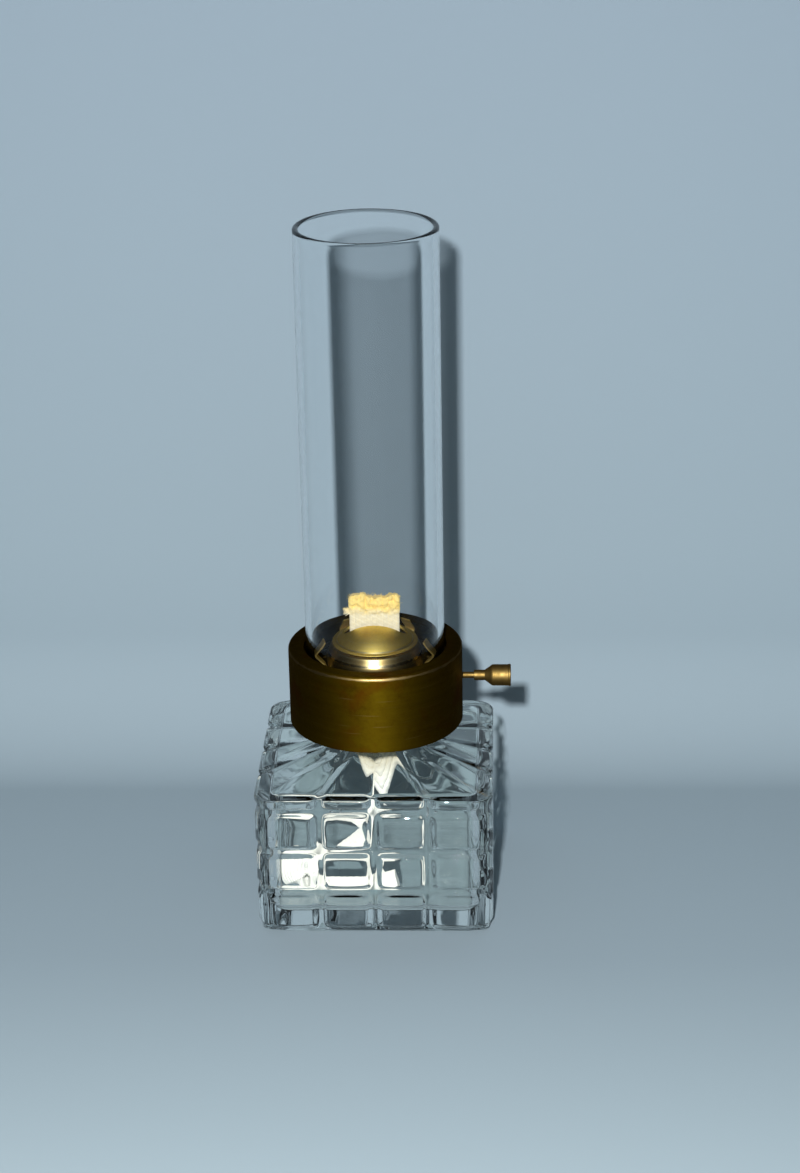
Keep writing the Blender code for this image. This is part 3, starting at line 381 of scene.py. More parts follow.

# %% A ring that has worn bright, or a painted highlight ring
def make_wear_and_highlight_ring():
    """Strongest on one circle round Z, given by its radius and height."""
    bench, given, result = new_group(
        "wear and highlight ring", {"Vector": "Vector", "Radius": 0.01, "Height": 0.0, "Width": 0.0005},
        {"Mask": "Float"})
    part = bench.parts(given["Vector"])
    out = bench.maths("SUBTRACT", bench.length(part[0], part[1]), given["Radius"])
    up = bench.maths("SUBTRACT", part[2], given["Height"])
    uneven = bench.span(bench.noise(given["Vector"], 420.0, 4.0), 0.3, 0.7, 0.5, 1.5)
    reach = bench.maths("MULTIPLY", given["Width"], uneven)
    away = bench.maths("DIVIDE", bench.length(out, up), reach)
    bench.fill(result, {"Mask": bench.span(away, 1.0, 0.3)})
    return bench.tree


WEAR_AND_HIGHLIGHT_RING = make_wear_and_highlight_ring()

# %% Dust and smudges on glass
def make_smudges():
    """Faint upright streaks and specks, as water and soot leave them on glass."""
    bench, given, result = new_group(
        "smudges", {"Vector": "Vector", "Across": 700.0, "Along": 18.0},
        {"Mask": "Float", "Speck": "Float"})
    place = given["Vector"]
    size = {0: given["Across"], 1: given["Across"], 2: given["Along"]}
    layout = {"Vector": place, "Scale": bench.add("CombineXYZ", size).outputs[0]}
    streak = bench.noise(bench.add("Mapping", layout).outputs[0], 1.0, 4.0)
    cloud = bench.noise(place, 45.0, 3.0)
    mask = bench.maths("MULTIPLY", bench.span(streak, 0.5, 0.75), bench.span(cloud, 0.54, 0.68))
    dots = bench.add("TexVoronoi", {"Vector": place, "Scale": 260.0}).outputs["Distance"]
    bench.fill(result, {"Mask": mask, "Speck": bench.span(dots, 0.09, 0.05)})
    return bench.tree


SMUDGES = make_smudges()

# %% [markdown]
# ## Brass and bronze
# All the metal is brass sheet or rod under different skins: dark bronzed drum, satin dome
# and barrel, bright turned knob, dull stampings inside. One recipe makes them, and the
# values below set each one apart.

# %% The metal recipe
TARNISH_DULLS, WEAR_DULLS = 0.16, -0.12  # what each adds to the roughness


def metal(name, clean, dark, warm, rough, amount=0.6, scale=140.0, spacing=0.0003,
          marks=0.00001, streak=0.08, wear_and_highlight_rings=(), wear_and_highlight_colour=(0.75, 0.55, 0.2), scratch=0.25,
          along=None, brushed=0.0):
    """A metal finish from its colours, its roughness and how far each effect goes.

    brushed stretches its highlights. along is (shift, turn) of the axis that its rings go
    round, where that isn't Z.
    """
    made, bench, shader, _ = new_material(name)
    place = bench.place()
    if along:
        layout = {"Vector": place, "Location": along[0], "Rotation": along[1]}
        place = bench.add("Mapping", layout).outputs[0]
    spun = bench.group(SPUN, {"Vector": place, "Spacing": spacing})
    skin = bench.group(TARNISH, {"Vector": place, "Clean": rgba(clean), "Dark": rgba(dark),
                                 "Warm": rgba(warm), "Scale": scale, "Amount": amount})
    lines = bench.group(SCRATCHES, {"Vector": place})["Mask"]
    wear_and_highlight = bench.maths("MULTIPLY", lines, scratch)
    # each ring is wear; on the drum's roll it is also a painted highlight
    for radius, height, width in wear_and_highlight_rings:
        ring = bench.group(WEAR_AND_HIGHLIGHT_RING, {"Vector": place, "Radius": radius, "Height": height,
                                  "Width": width})
        wear_and_highlight = bench.maths("MAXIMUM", wear_and_highlight, ring["Mask"])
    dull = bench.maths("MULTIPLY_ADD", skin["Mask"], TARNISH_DULLS, rough)
    dull = bench.maths("MULTIPLY_ADD", spun["Streak"], streak, dull)
    dull = bench.maths("MULTIPLY_ADD", wear_and_highlight, WEAR_DULLS, dull)
    bench.fill(shader.inputs, {
        "Base Color": bench.blend(wear_and_highlight, skin["Colour"], rgba(wear_and_highlight_colour)),
        "Metallic": 1.0,
        "Anisotropic": brushed,
        "Anisotropic Rotation": 0.25,
        "Roughness": bench.span(dull, 0.0, 1.0),
        "Normal": bench.bump(spun["Height"], marks),
    })
    return made


# %% [markdown]
# ## Turned pieces
# The drum, barrel, dome, cap, chimney and knob are all round about an axis. On the real
# lamp they are spun from sheet over a form or turned from rod. Here half an outline is
# drawn as a flat face with a few corners, each corner is rounded by a bevel, and the
# outline is spun right round.

# %% The lathe
WELD = 0.0005 * MM
FINE_STEPS = 144
HOLD = 0.3  # mm from a rounding to the next point of a straight run


def piece(name, bm, material, body, node=None, sharp=35.0, recalc=True):
    """Finishes a bmesh as a shown piece that rides on a body of the frame."""
    if recalc:
        bmesh.ops.remove_doubles(bm, verts=bm.verts, dist=WELD)
        bmesh.ops.recalc_face_normals(bm, faces=bm.faces)
    made = smooth_object(name, bm, material)
    mesh = made.data
    mesh.set_sharp_from_angle(angle=math.radians(sharp))
    if body:
        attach(made, body)
    if node:
        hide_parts(node)
    triangles = sum(len(p.vertices) - 2 for p in mesh.polygons)
    print(f"{name}: {len(mesh.vertices)} points, {triangles} triangles")
    return made


def held(outline):
    """The outline with a point beyond each rounding, so that straight runs shade straight."""
    points = []
    for i, (r, h, rounding) in enumerate(outline):
        points.append((r, h, rounding))
        r2, h2, rounding2 = outline[(i + 1) % len(outline)]
        length = math.hypot(r2 - r, h2 - h)
        if length > rounding + rounding2 + 4 * HOLD:
            for reach in (rounding + HOLD, length - rounding2 - HOLD):
                share = reach / length
                points.append((r + (r2 - r) * share, h + (h2 - h) * share, 0))
    return points


def turned(outline, steps=FINE_STEPS, segments=6):
    """A bmesh turned about Z from corners of (radius, height, rounding), all in mm."""
    outline = held(outline)
    bm = bmesh.new()
    corners = [bm.verts.new((r * MM, 0, h * MM)) for r, h, _ in outline]
    bm.faces.new(corners)
    for corner, (_, _, rounding) in zip(corners, outline):
        if rounding:
            bmesh.ops.bevel(bm, geom=[corner], offset=rounding * MM, offset_type="OFFSET",
                            affect="VERTICES", segments=segments, profile=0.5, material=-1)
    bmesh.ops.delete(bm, geom=bm.faces[:], context="FACES_ONLY")
    bmesh.ops.spin(bm, geom=bm.verts[:] + bm.edges[:], cent=(0, 0, 0), axis=(0, 0, 1),
                   angle=math.tau, steps=steps, use_merge=True)
    bmesh.ops.dissolve_degenerate(bm, edges=bm.edges, dist=WELD)
    bmesh.ops.remove_doubles(bm, verts=bm.verts, dist=WELD)
    return bm


def cut_away(target, cutter_bm):
    """Cuts a bmesh out of a piece."""
    bmesh.ops.recalc_face_normals(cutter_bm, faces=cutter_bm.faces)
    mesh = bpy.data.meshes.new("cutter")
    cutter_bm.to_mesh(mesh)
    cutter_bm.free()
    cutter = in_scene("cutter", mesh)
    cut = target.modifiers.new("cut", "BOOLEAN")
    cut.operation, cut.object, cut.solver = "DIFFERENCE", cutter, "EXACT"
    graph = bpy.context.evaluated_depsgraph_get()
    done = bpy.data.meshes.new_from_object(target.evaluated_get(graph))
    target.modifiers.clear()
    target.data = done
    bpy.data.objects.remove(cutter)


def drill(places, radius, depth, steps=32):
    """Round cutters, each along the Z axis of its matrix."""
    bm = bmesh.new()
    for place in places:
        bmesh.ops.create_cone(bm, cap_ends=True, segments=steps, radius1=radius, radius2=radius,
                              depth=depth, matrix=place)
    return bm


def stadium(width, thickness, low, high):
    """A bar with two round ends, wide along X: a box whose upright edges are bevelled."""
    bm = bmesh.new()
    size = Matrix.Diagonal((width, thickness, high - low, 1))
    middle = Matrix.Translation((0, 0, (low + high) / 2))
    bmesh.ops.create_cube(bm, size=1.0, matrix=middle @ size)
    upright = [e for e in bm.edges if abs(e.verts[0].co.z - e.verts[1].co.z) > WELD]
    bmesh.ops.bevel(bm, geom=upright, offset=thickness * 0.4999, offset_type="OFFSET",
                    affect="EDGES", segments=16, profile=0.5, material=-1)
    return bm


def along_x(place):
    """A matrix at that place whose Z axis lies along X."""
    return Matrix.Translation(place) @ Matrix.Rotation(math.pi / 2, 4, "Y")


SPINDLE_PLACE = Vector((0, 3.3, 57.7)) * MM
print("lathe ready")

# %% [markdown]
# ## Gallery drum
# The drum is spun from sheet brass and bronzed dark. Its top edge is rolled over and runs
# in as a flange round the chimney. A paler ring on the roll is partly wear and partly a
# painted highlight, laid where the key lamp mirrors. The bronzing shows olive and red
# brown where it is thin.

# %% Drum
drum_bronze = metal(
    "drum_bronze", clean=(0.130, 0.086, 0.003), dark=(0.045, 0.023, 0.001),
    warm=(0.105, 0.028, 0.002), rough=0.50, amount=0.75, scale=95.0, spacing=0.00022,
    # wear and painted highlight: a paler ring on the roll, where the key lamp mirrors
    streak=0.04, wear_and_highlight_rings=((0.0221, 0.0677, 0.0004),), wear_and_highlight_colour=(0.30, 0.22, 0.09),
    scratch=0.2, brushed=0.4,
)
drum = piece(
    "drum",
    turned([(22.2, 47.8, 0.15), (22.2, 68.3, 1.0), (18.26, 68.3, 0.25), (18.26, 67.6, 0.2),
            (21.5, 67.6, 0.3), (21.5, 47.8, 0.15)]),
    drum_bronze, "burner", "gallery_drum",
)
cut_away(drum, drill([along_x((0.022, SPINDLE_PLACE.y, SPINDLE_PLACE.z))], 0.0011, 0.006))

# %% [markdown]
# ## Barrel, cap and air plate
# The barrel is the bright band under the dome. It is a thin drawn tube with a row of air
# holes, pressed over the screw cap. Its coned shoulder is the most polished metal on the
# lamp, and it leans back so far that it mirrors the flash above the eye.

# %% Barrel
satin_brass = metal(
    "satin_brass", clean=(0.88, 0.70, 0.20), dark=(0.55, 0.42, 0.08), warm=(0.68, 0.45, 0.11),
    rough=0.48, amount=0.5, scale=170.0, spacing=0.00016, streak=0.06,
    wear_and_highlight_rings=((0.0098, 0.0699, 0.0003),), wear_and_highlight_colour=(0.85, 0.72, 0.34), scratch=0.3, brushed=0.2,
)
polished_band = metal(
    "polished_band", clean=(0.62, 0.50, 0.22), dark=(0.20, 0.13, 0.03), warm=(0.40, 0.21, 0.05),
    rough=0.28, amount=0.5, scale=190.0, spacing=0.00014, marks=0.000004, streak=0.05,
    wear_and_highlight_rings=((0.0119, 0.0669, 0.0005),), wear_and_highlight_colour=(0.85, 0.74, 0.42), scratch=0.3,
)
barrel = piece(
    "barrel",
    turned([(12.3, 48.5, 0.1), (12.3, 66.2, 0.5), (11.1, 69.0, 0.53), (9.3, 69.0, 0.1),
            (9.3, 68.5, 0.1), (10.77, 68.5, 0.2), (11.8, 66.1, 0.4), (11.8, 48.5, 0.1)]),
    polished_band, "burner", "burner_barrel",
)
PORTS = 12
ports = [Matrix.Rotation(math.tau * (i + 0.5) / PORTS, 4, "Z") @ along_x((0.0123, 0, 0.054))
         for i in range(PORTS)]
ports.append(along_x((0.0123, SPINDLE_PLACE.y, SPINDLE_PLACE.z)))
cut_away(barrel, drill(ports, 0.0011, 0.005, steps=24))

# %% Screw cap
dull_brass = metal(
    "dull_brass", clean=(0.26, 0.19, 0.065), dark=(0.10, 0.07, 0.02), warm=(0.20, 0.10, 0.03),
    rough=0.42, amount=0.8, scale=150.0, spacing=0.0003, marks=0.000008, scratch=0.3,
)
cap = piece(
    "cap",
    turned([(11.4, 43.6, 0.1), (11.6, 43.8, 0.08), (11.4, 44.0, 0.08), (11.4, 45.0, 0.1),
            (11.55, 45.3, 0.1), (11.4, 45.6, 0.1), (11.4, 46.5, 0.1), (11.55, 46.8, 0.1),
            (11.4, 47.1, 0.1), (11.4, 47.9, 0.1), (11.5, 48.2, 0.1), (11.5, 51.4, 0.6),
            (0, 51.4, 0), (0, 50.8, 0), (10.8, 50.8, 0.3), (10.8, 43.6, 0.1)]),
    dull_brass, "burner", "burner_cap",
)
cut_away(cap, stadium(0.0150, 0.0042, 0.050, 0.053))

# %% [markdown]
# ## Flame dome
# The dome is pressed from thin sheet, with a flat brim and a slot for the wick and flame.
# It is satin, and heat has drawn a greenish gold over it.

# %% Dome
def dome_outline():
    """Corners of the dome's section: brim, spherical cap and its inside, in mm."""
    def bow(top, base, radius, steps=14):
        rise = top - base
        sphere = (radius**2 + rise**2) / (2 * rise)
        widest = math.asin(radius / sphere)
        angles = [widest * (1 - i / steps) for i in range(steps + 1)]
        return [(sphere * math.sin(a), top - sphere + sphere * math.cos(a), 0) for a in angles]

    outline = [(10.9, 69.3, 0.08), (10.9, 69.55, 0.1)]
    outline += [(9.95, 69.6, 0.08)] + bow(74.2, 69.8, 9.8)
    outline += list(reversed(bow(73.7, 69.3, 9.3)))
    return outline


dome = piece("dome", turned(dome_outline(), segments=4), satin_brass, "burner", "flame_dome")
cut_away(dome, stadium(0.0164, 0.0040, 0.068, 0.076))

# %% [markdown]
# ## Chimney
# The chimney is a length of drawn tube whose ends were melted round in a flame. It is the
# clearest glass on the lamp. A glass shader lets no lamp light through in straight lines,
# so rays from the lamps, from dull surfaces and from satin metal pass a tinted clear
# shader instead, darker where the wall is seen edge on.

# %% The glass recipe
def glass(name, colour, soiled, ior, shade_middle, shade_edge, ripple=0.0, ripple_scale=60.0,
          across=700.0, along=18.0, gloss=1.0, edge_to=0.88, upright_only=False):
    """Clear glass with faint marks, that lets the lamps' light through.

    The marks tint the glass. They leave it smooth, since only a smooth surface counts as
    glass and not as metal where the stage tells the two apart. The shade of its edges falls
    on upright faces alone where the piece has level ones that show edge on too.
    """
    made, bench, shader, output = new_material(name)
    place = bench.place()
    marks = bench.group(SMUDGES, {"Vector": place, "Across": across, "Along": along})
    mask = bench.maths("MAXIMUM", marks["Mask"], marks["Speck"])
    bench.fill(shader.inputs, {
        "Base Color": bench.blend(mask, rgba(colour), rgba(soiled)),
        "Roughness": 0.0,
        "Transmission Weight": 1.0,
        "IOR": ior,
        "Specular Tint": (gloss, gloss, gloss, 1.0),
    })
    if ripple:
        wave = bench.noise(place, ripple_scale, 1.5)
        bench.fill(shader.inputs, {"Normal": bench.bump(wave, ripple)})
    facing = bench.add("LayerWeight", {"Blend": 0.5}).outputs["Facing"]
    edge = bench.span(facing, EDGE_FROM, edge_to)
    if upright_only:
        normal = bench.parts(bench.add("NewGeometry").outputs["Normal"])
        upright = bench.span(bench.maths("ABSOLUTE", normal[2]), 0.6, 0.3)
        edge = bench.maths("MULTIPLY", edge, upright)
    shade = bench.blend(edge, rgba(shade_middle), rgba(shade_edge))
    clear = bench.add("BsdfTransparent", {"Color": shade}).outputs[0]
    rays = bench.add("LightPath").outputs
    through = bench.maths("MAXIMUM", rays["Is Shadow Ray"], rays["Is Diffuse Ray"])
    through = bench.maths("MAXIMUM", through, mirrored_in_metal(bench))
    mixed = bench.add("MixShader", {0: through, 1: shader.outputs[0], 2: clear})
    bench.fill(output.inputs, {"Surface": mixed.outputs[0]})
    return made


EDGE_FROM = 0.22  # how edge on a wall has to be before its shade begins
chimney_glass = glass("chimney_glass", (0.985, 0.995, 1.0), (0.95, 0.965, 0.97), 1.5,
                      (0.80, 0.80, 0.80), (0.07, 0.08, 0.08), gloss=0.12)
TUBE_R, TUBE_BORE, TUBE_LOW, TUBE_HIGH, TUBE_END = 17.66, 16.16, 62.5, 176.8, 0.74
piece(
    "chimney",
    turned([(TUBE_R, TUBE_LOW, TUBE_END), (TUBE_R, TUBE_HIGH, TUBE_END),
            (TUBE_BORE, TUBE_HIGH, TUBE_END), (TUBE_BORE, TUBE_LOW, TUBE_END)], steps=192),
    chimney_glass, "chimney", "chimney_glass",
)

# %% [markdown]
# ## Font
# The font was pressed in a hinged mould, and that is why all its pattern is on the outside
# and its hollow is plain. The outside has four columns and three rows of pillow blocks, a
# plain band, and a shoulder whose flutes carry the grooves on towards the neck. A square loop
# of points is extruded ring by ring, up the outside, over the lip and down inside, and
# each ring is pressed into the shape that the mould has at that height.

# %% Rings of the font
HALF, CORNER, EDGE_Z = 30.0, 5.0, 38.3
PITCH, ROW_Z0, ROW = 14.1, 1.1, 33.7 / 3
GROOVE, FLUTE, FLUTE_OPENS, FLUTE_POWER = 1.5, 0.38, 0.12, 3
BLOCK_FLAT, BLOCK_FOOT, CROWN_LOSS, BLOCK_SQUARE = 0.70, 0.94, 0.06, 7.0
BLOCK_STATIONS = (0.0, 0.3, 0.6, 0.72, 0.76, 0.79, 0.815, 0.84, 0.865, 0.89, 0.92, 0.96, 1.0)
NECK_FOOT_Z, NECK_R, NECK_TOP_Z, BORE_R = 42.6, 10.5, 49.2, 7.8
CORNER_EASE = 0.7  # share of a groove's depth that is lost on a corner
CORNER_SHARE = 0.76  # how far towards a groove the pattern goes on a corner
TOP_CHAMFER, CHAMFER_LOW, CHAMFER_HIGH = 0.37, 0.62, 0.82  # on the top row, its upper edge
CORNER_RUNS = (0.0, 0.6, 1.15, 1.4, 1.6, 1.8, 2.0, 2.2, 2.4, 2.6, 2.85, 3.3)
BAND_SHARE, EDGE_INSET, SHOULDER_STEPS = 0.84, 0.5, 24


def clamp(value):
    return min(1.0, max(0.0, value))


def quarter(steps, first=0):
    """Angles of a quarter turn in equal steps."""
    return [math.pi / 2 * i / steps for i in range(first, steps + 1)]


def swell(share):
    """Height of a block by the distance from its middle: low crown, steep round edge."""
    eased = clamp((share - BLOCK_FLAT) / (BLOCK_FOOT - BLOCK_FLAT))
    return (1.0 - CROWN_LOSS * share**2) * (1.0 - eased**2 * (3.0 - 2.0 * eased))


def block_rise(across, up):
    """Height of the pattern, 0 in a groove and 1 on a crown, by shares from the middle."""
    both = abs(across) ** BLOCK_SQUARE + abs(up) ** BLOCK_SQUARE
    return swell(both ** (1.0 / BLOCK_SQUARE))


def top_row_rise(across, up):
    """The same for the top row, whose upper edge is chamfered all along."""
    ramp = clamp((up - CHAMFER_LOW) / (CHAMFER_HIGH - CHAMFER_LOW))
    return min(block_rise(across, up), 1.0 - TOP_CHAMFER * ramp)


def column_share(along):
    """Distance from the middle of the nearest column's block, as a share of half the pitch."""
    if abs(along) >= 1.5 * PITCH:
        return min(CORNER_SHARE, (abs(along) - 1.5 * PITCH) / (PITCH / 2))
    return 2.0 * abs((along / PITCH) % 1.0 - 0.5)


def square_plan():
    """For each point of a ring: its side, its share along the side, and its corner angle.

    The points are packed where a block's edge turns down into a groove.
    """
    straight = HALF - CORNER
    places = {round(middle + way * share * PITCH / 2, 4)
              for middle in (-1.5 * PITCH, -0.5 * PITCH, 0.5 * PITCH, 1.5 * PITCH)
              for way in (-1, 1) for share in BLOCK_STATIONS}
    along = sorted(place for place in places if abs(place) < straight - 0.2)
    angles = [math.pi / 2 - run / CORNER for run in CORNER_RUNS]
    angles += [math.pi / 4] + [run / CORNER for run in reversed(CORNER_RUNS)]
    plan = []
    for side in range(4):
        plan += [(side, place / straight, None) for place in along]
        plan += [(side, 1.0, angle) for angle in angles]
    return plan


PLAN = square_plan()


def square_ring(half, corner, height, rise=None):
    """Points of a level square with round corners. rise(along) presses the sides in."""
    points = []
    straight = half - corner
    for side, share, angle in PLAN:
        if angle is None:
            along, out = share * straight, half
        else:
            along, out = straight + corner * math.cos(angle), straight + corner * math.sin(angle)
        point = Vector((along, -out, 0))
        if rise:
            reach = HALF - CORNER
            reach = share * reach if angle is None else reach + angle_run(angle)
            ease = 1 - CORNER_EASE * math.sin(2 * (angle or 0.0))
            point -= point.normalized() * GROOVE * ease * (1 - rise(reach))
        point.z = height
        points.append(Matrix.Rotation(side * math.pi / 2, 3, "Z") @ point)
    return points


def angle_run(angle):
    """Length along the round corner, counted down again past its middle."""
    return CORNER * min(math.pi / 2 - angle, angle)


def toward_round(points, radius, share):
    """Each point moved part of the way to a circle, keeping its direction."""
    moved = []
    for p in points:
        level = Vector((p.x, p.y))
        level = level.lerp(level.normalized() * radius, share)
        moved.append(Vector((level.x, level.y, p.z)))
    return moved


def rounded_steps(count):
    """Shares from 0 to 1, closer together at both ends."""
    return [(1 - math.cos(math.pi * i / count)) / 2 for i in range(count + 1)]


print("points in a ring:", len(PLAN))

# %% Outside of the font
def patterned(height, up, shape=block_rise, half=HALF):
    """A ring whose sides carry the blocks as they are at that share from a row's middle."""
    return square_ring(half, CORNER, height, lambda along: shape(column_share(along), up))


def outside_rings():
    """From the middle of the underside up the blocks and the band to the square edge."""
    rings = []
    for share in (0.02, 0.3, 0.6, 0.85):
        rings.append(square_ring(26.6 * share, max(0.1, CORNER * share), 0.0))
    foot_half = HALF - GROOVE - 2.0
    for angle in quarter(6):
        half = foot_half + 2.0 * math.sin(angle)
        rings.append(square_ring(half, CORNER, ROW_Z0 * (1 - math.cos(angle))))
    climb = [-share for share in reversed(BLOCK_STATIONS[1:-1])] + list(BLOCK_STATIONS)
    for row, shape in enumerate((block_rise, block_rise, top_row_rise)):
        for up in climb:
            rings.append(patterned(ROW_Z0 + (row + (1 + up) / 2) * ROW, up, shape))
    band_z0 = ROW_Z0 + 3 * ROW
    band = EDGE_Z - band_z0
    for up in [share for share in reversed(BLOCK_STATIONS) if 0.7 < share < 1.0]:
        rings.append(patterned(band_z0 + (1 - up) * ROW / 2, up))
    rings.append(patterned(band_z0 + BAND_SHARE * band, 0.0))
    for angle in quarter(7, 1):
        out = HALF - EDGE_INSET * (1 - math.cos(angle))
        height = band_z0 + band * (BAND_SHARE + (1 - BAND_SHARE) * math.sin(angle))
        rings.append(patterned(height, 0.0, half=out))
    return rings


def flute_rise(across, share):
    """A steep groove at the edge, that opens into a soft flute on its way up the shoulder."""
    opened = min(1.0, share / FLUTE_OPENS)
    return block_rise(across, 0.0) * (1 - opened) + (1 - abs(across) ** FLUTE_POWER) * opened


def shoulder_rings():
    """From the square edge up the fluted shoulder to the round foot of the neck."""
    rings = []
    for share in rounded_steps(SHOULDER_STEPS)[1:]:
        depth = FLUTE * (1 - 0.6 * share) * (1 - share**8)  # shallower, then gone at the neck
        height = EDGE_Z + (NECK_FOOT_Z - EDGE_Z) * share
        pressed = square_ring(HALF - EDGE_INSET, CORNER, height,
                              lambda along: flute_rise(column_share(along), share))
        ring = toward_round(pressed, NECK_R + 0.5, share)
        for point, (side, along, angle) in zip(ring, PLAN):
            if angle is None:
                across = column_share(along * (HALF - CORNER))
                point.z -= depth * (1 - flute_rise(across, share))
        rings.append(ring)
    return rings


def round_rings(steps):
    """Level circles with the ring's own directions, from (radius, height) in mm."""
    plain = square_ring(HALF, CORNER, 0.0)
    rings = []
    for radius, height in steps:
        ring = toward_round(plain, radius, 1.0)
        rings.append([Vector((p.x, p.y, height)) for p in ring])
    return rings


def neck_steps():
    """Neck and bore as (radius, height): fillet, side, round lip and the bore's upper end."""
    fillet = ((0.22, 0.12), (0.06, 0.3), (0.0, 0.6))
    steps = [(NECK_R + out, NECK_FOOT_Z + up) for out, up in fillet]
    steps += [(NECK_R, z) for z in (44.5, 46.5, 48.4)]
    for angle in quarter(5, 1):
        steps.append((NECK_R - 0.7 * (1 - math.cos(angle)), 48.5 + 0.7 * math.sin(angle)))
    for angle in quarter(5):
        steps.append((BORE_R + 0.6 * (1 - math.sin(angle)),
                      NECK_TOP_Z - 0.6 * (1 - math.cos(angle))))
    steps += [(BORE_R, z) for z in (47.0, 44.5, 42.0, 40.8)]
    return steps


def inside_rings():
    """The plain hollow, from the bore down to the middle of its floor."""
    rings = []
    inner_half, inner_corner, roof_edge, roof, bend, floor = 26.0, 2.6, 37.4, 40.4, 0.8, 5.0
    floor_bend = 3.5
    for i in range(13):
        share = 1 - i / 12
        height = roof_edge + (roof - roof_edge) * share
        square = square_ring(inner_half - bend, inner_corner - 1, height)
        rings.append(toward_round(square, BORE_R + 0.3, share))
    for angle in quarter(8, 1):
        half = inner_half - bend * (1 - math.sin(angle))
        rings.append(square_ring(half, inner_corner - 1 + math.sin(angle),
                                 roof_edge - bend * (1 - math.cos(angle))))
    for height in (roof_edge - bend - 0.4, 27.0, 22.0, 17.0, 12.0, floor + 3.9):
        rings.append(square_ring(inner_half, inner_corner, height))
    for angle in quarter(8):
        turned_in = 1 - math.cos(angle)
        rings.append(square_ring(inner_half - floor_bend * turned_in,
                                 inner_corner - 1.5 * turned_in,
                                 floor + floor_bend * (1 - math.sin(angle))))
    for share in (0.85, 0.6, 0.3, 0.02):
        rings.append(square_ring((inner_half - floor_bend) * share, max(0.1, 1.1 * share), floor))
    return rings


def next_ring(bm, ring, places):
    """Extrudes a closed ring of points and moves the new one to its places, in order."""
    edges = [bm.edges.get(pair) for pair in zip(ring, ring[1:] + ring[:1])]
    made = set(bmesh.ops.extrude_edge_only(bm, edges=edges)["geom"])
    fresh = []
    for vert, place in zip(ring, places):
        new = next(e.other_vert(vert) for e in vert.link_edges if e.other_vert(vert) in made)
        new.co = place
        fresh.append(new)
    return fresh


def lofted(bm, rings, closed_foot=True):
    """A circle of points, extruded and pressed ring by ring, in mm. Gives all its rows.

    The foot is closed first, since each new face takes its winding from the last.
    """
    ring = bmesh.ops.create_circle(bm, cap_ends=False, radius=1.0, segments=len(rings[0]))["verts"]
    for vert, place in zip(ring, rings[0]):
        vert.co = place * MM
    if closed_foot:
        bm.faces.new(ring)
    rows = [ring]
    for places in rings[1:]:
        rows.append(next_ring(bm, rows[-1], [p * MM for p in places]))
    bm.faces.new(rows[-1])
    return rows


font_glass = glass("font_glass", (0.975, 1.0, 0.98), (0.93, 0.95, 0.94), 1.52,
                   (0.99, 1.0, 0.99), (0.05, 0.06, 0.055), ripple=0.00006, across=240.0,
                   along=120.0, edge_to=0.50, upright_only=True)
font_rings = outside_rings() + shoulder_rings() + round_rings(neck_steps()) + inside_rings()
font_bm = bmesh.new()
lofted(font_bm, font_rings)
piece("font", font_bm, font_glass, "font", "glass_font", sharp=60.0)

# %% [markdown]
# ## Chimney springs
# Four strips of thin spring brass stand on the air plate and bow out against the chimney
# from inside. Each is a strip of sheet bent on a jig, so a short line is extruded along
# the bend and then given its thickness.

# %% Springs
SPRING_BEND = ((14.85, 62.675), (13.9, 62.675), (13.0, 62.83), (13.06, 63.78), (14.19, 65.2),
               (15.43, 66.8), (15.25, 67.75), (13.98, 69.3), (13.18, 70.6))
SPRING_WIDTH, SPRING_SHEET = 3.0 * MM, 0.35 * MM
SPRING_ANGLES = (-15.0, 55.0, 125.0, 195.0)


def smooth_route(points, steps):
    """Points on a smooth curve through the given ones."""
    knots = [Vector(p) for p in points]
    knots = [2 * knots[0] - knots[1], *knots, 2 * knots[-1] - knots[-2]]
    route = []
    for a, b, c, d in zip(knots, knots[1:], knots[2:], knots[3:]):
        for i in range(steps):
            t = i / steps
            bend = 2 * a - 5 * b + 4 * c - d
            swing = 3 * b - a - 3 * c + d
            route.append((2 * b + (c - a) * t + bend * t**2 + swing * t**3) / 2)
    route.append(knots[-2])
    return route


spring_brass = metal(
    "spring_brass", clean=(0.95, 0.74, 0.26), dark=(0.45, 0.32, 0.08), warm=(0.70, 0.44, 0.11),
    rough=0.50, amount=0.5, scale=220.0, spacing=0.00025, marks=0.000004, scratch=0.25,
)
for number, degrees in enumerate(SPRING_ANGLES, 1):
    bm = bmesh.new()
    line = [bm.verts.new((p.x * MM, -SPRING_WIDTH / 2, p.y * MM))
            for p in smooth_route(SPRING_BEND, 6)]
    bent = [bm.edges.new(pair) for pair in zip(line, line[1:])]
    swept = bmesh.ops.extrude_edge_only(bm, edges=bent)["geom"]
    far = [v for v in swept if isinstance(v, bmesh.types.BMVert)]
    bmesh.ops.translate(bm, verts=far, vec=(0, SPRING_WIDTH, 0))
    bmesh.ops.recalc_face_normals(bm, faces=bm.faces)
    bmesh.ops.solidify(bm, geom=bm.faces[:], thickness=SPRING_SHEET)
    round_axis = Matrix.Rotation(math.radians(degrees), 3, "Z")
    bmesh.ops.rotate(bm, verts=bm.verts, cent=(0, 0, 0), matrix=round_axis)
    piece(f"spring_{number}", bm, spring_brass, "burner", f"chimney_spring_{number}",
          sharp=50.0)

# %% [markdown]
# ## Parts inside the burner
# The air plate, the wick tube, the bracket, the toothed wheels and the collar are hardly
# seen, but they show through the chimney and from below. Their CAD shapes are right, so a
# copy of each is welded, its edges are eased by a small bevel, and it gets a real finish.

# %% Eased copies of the inner parts
EASE = 0.06 * MM


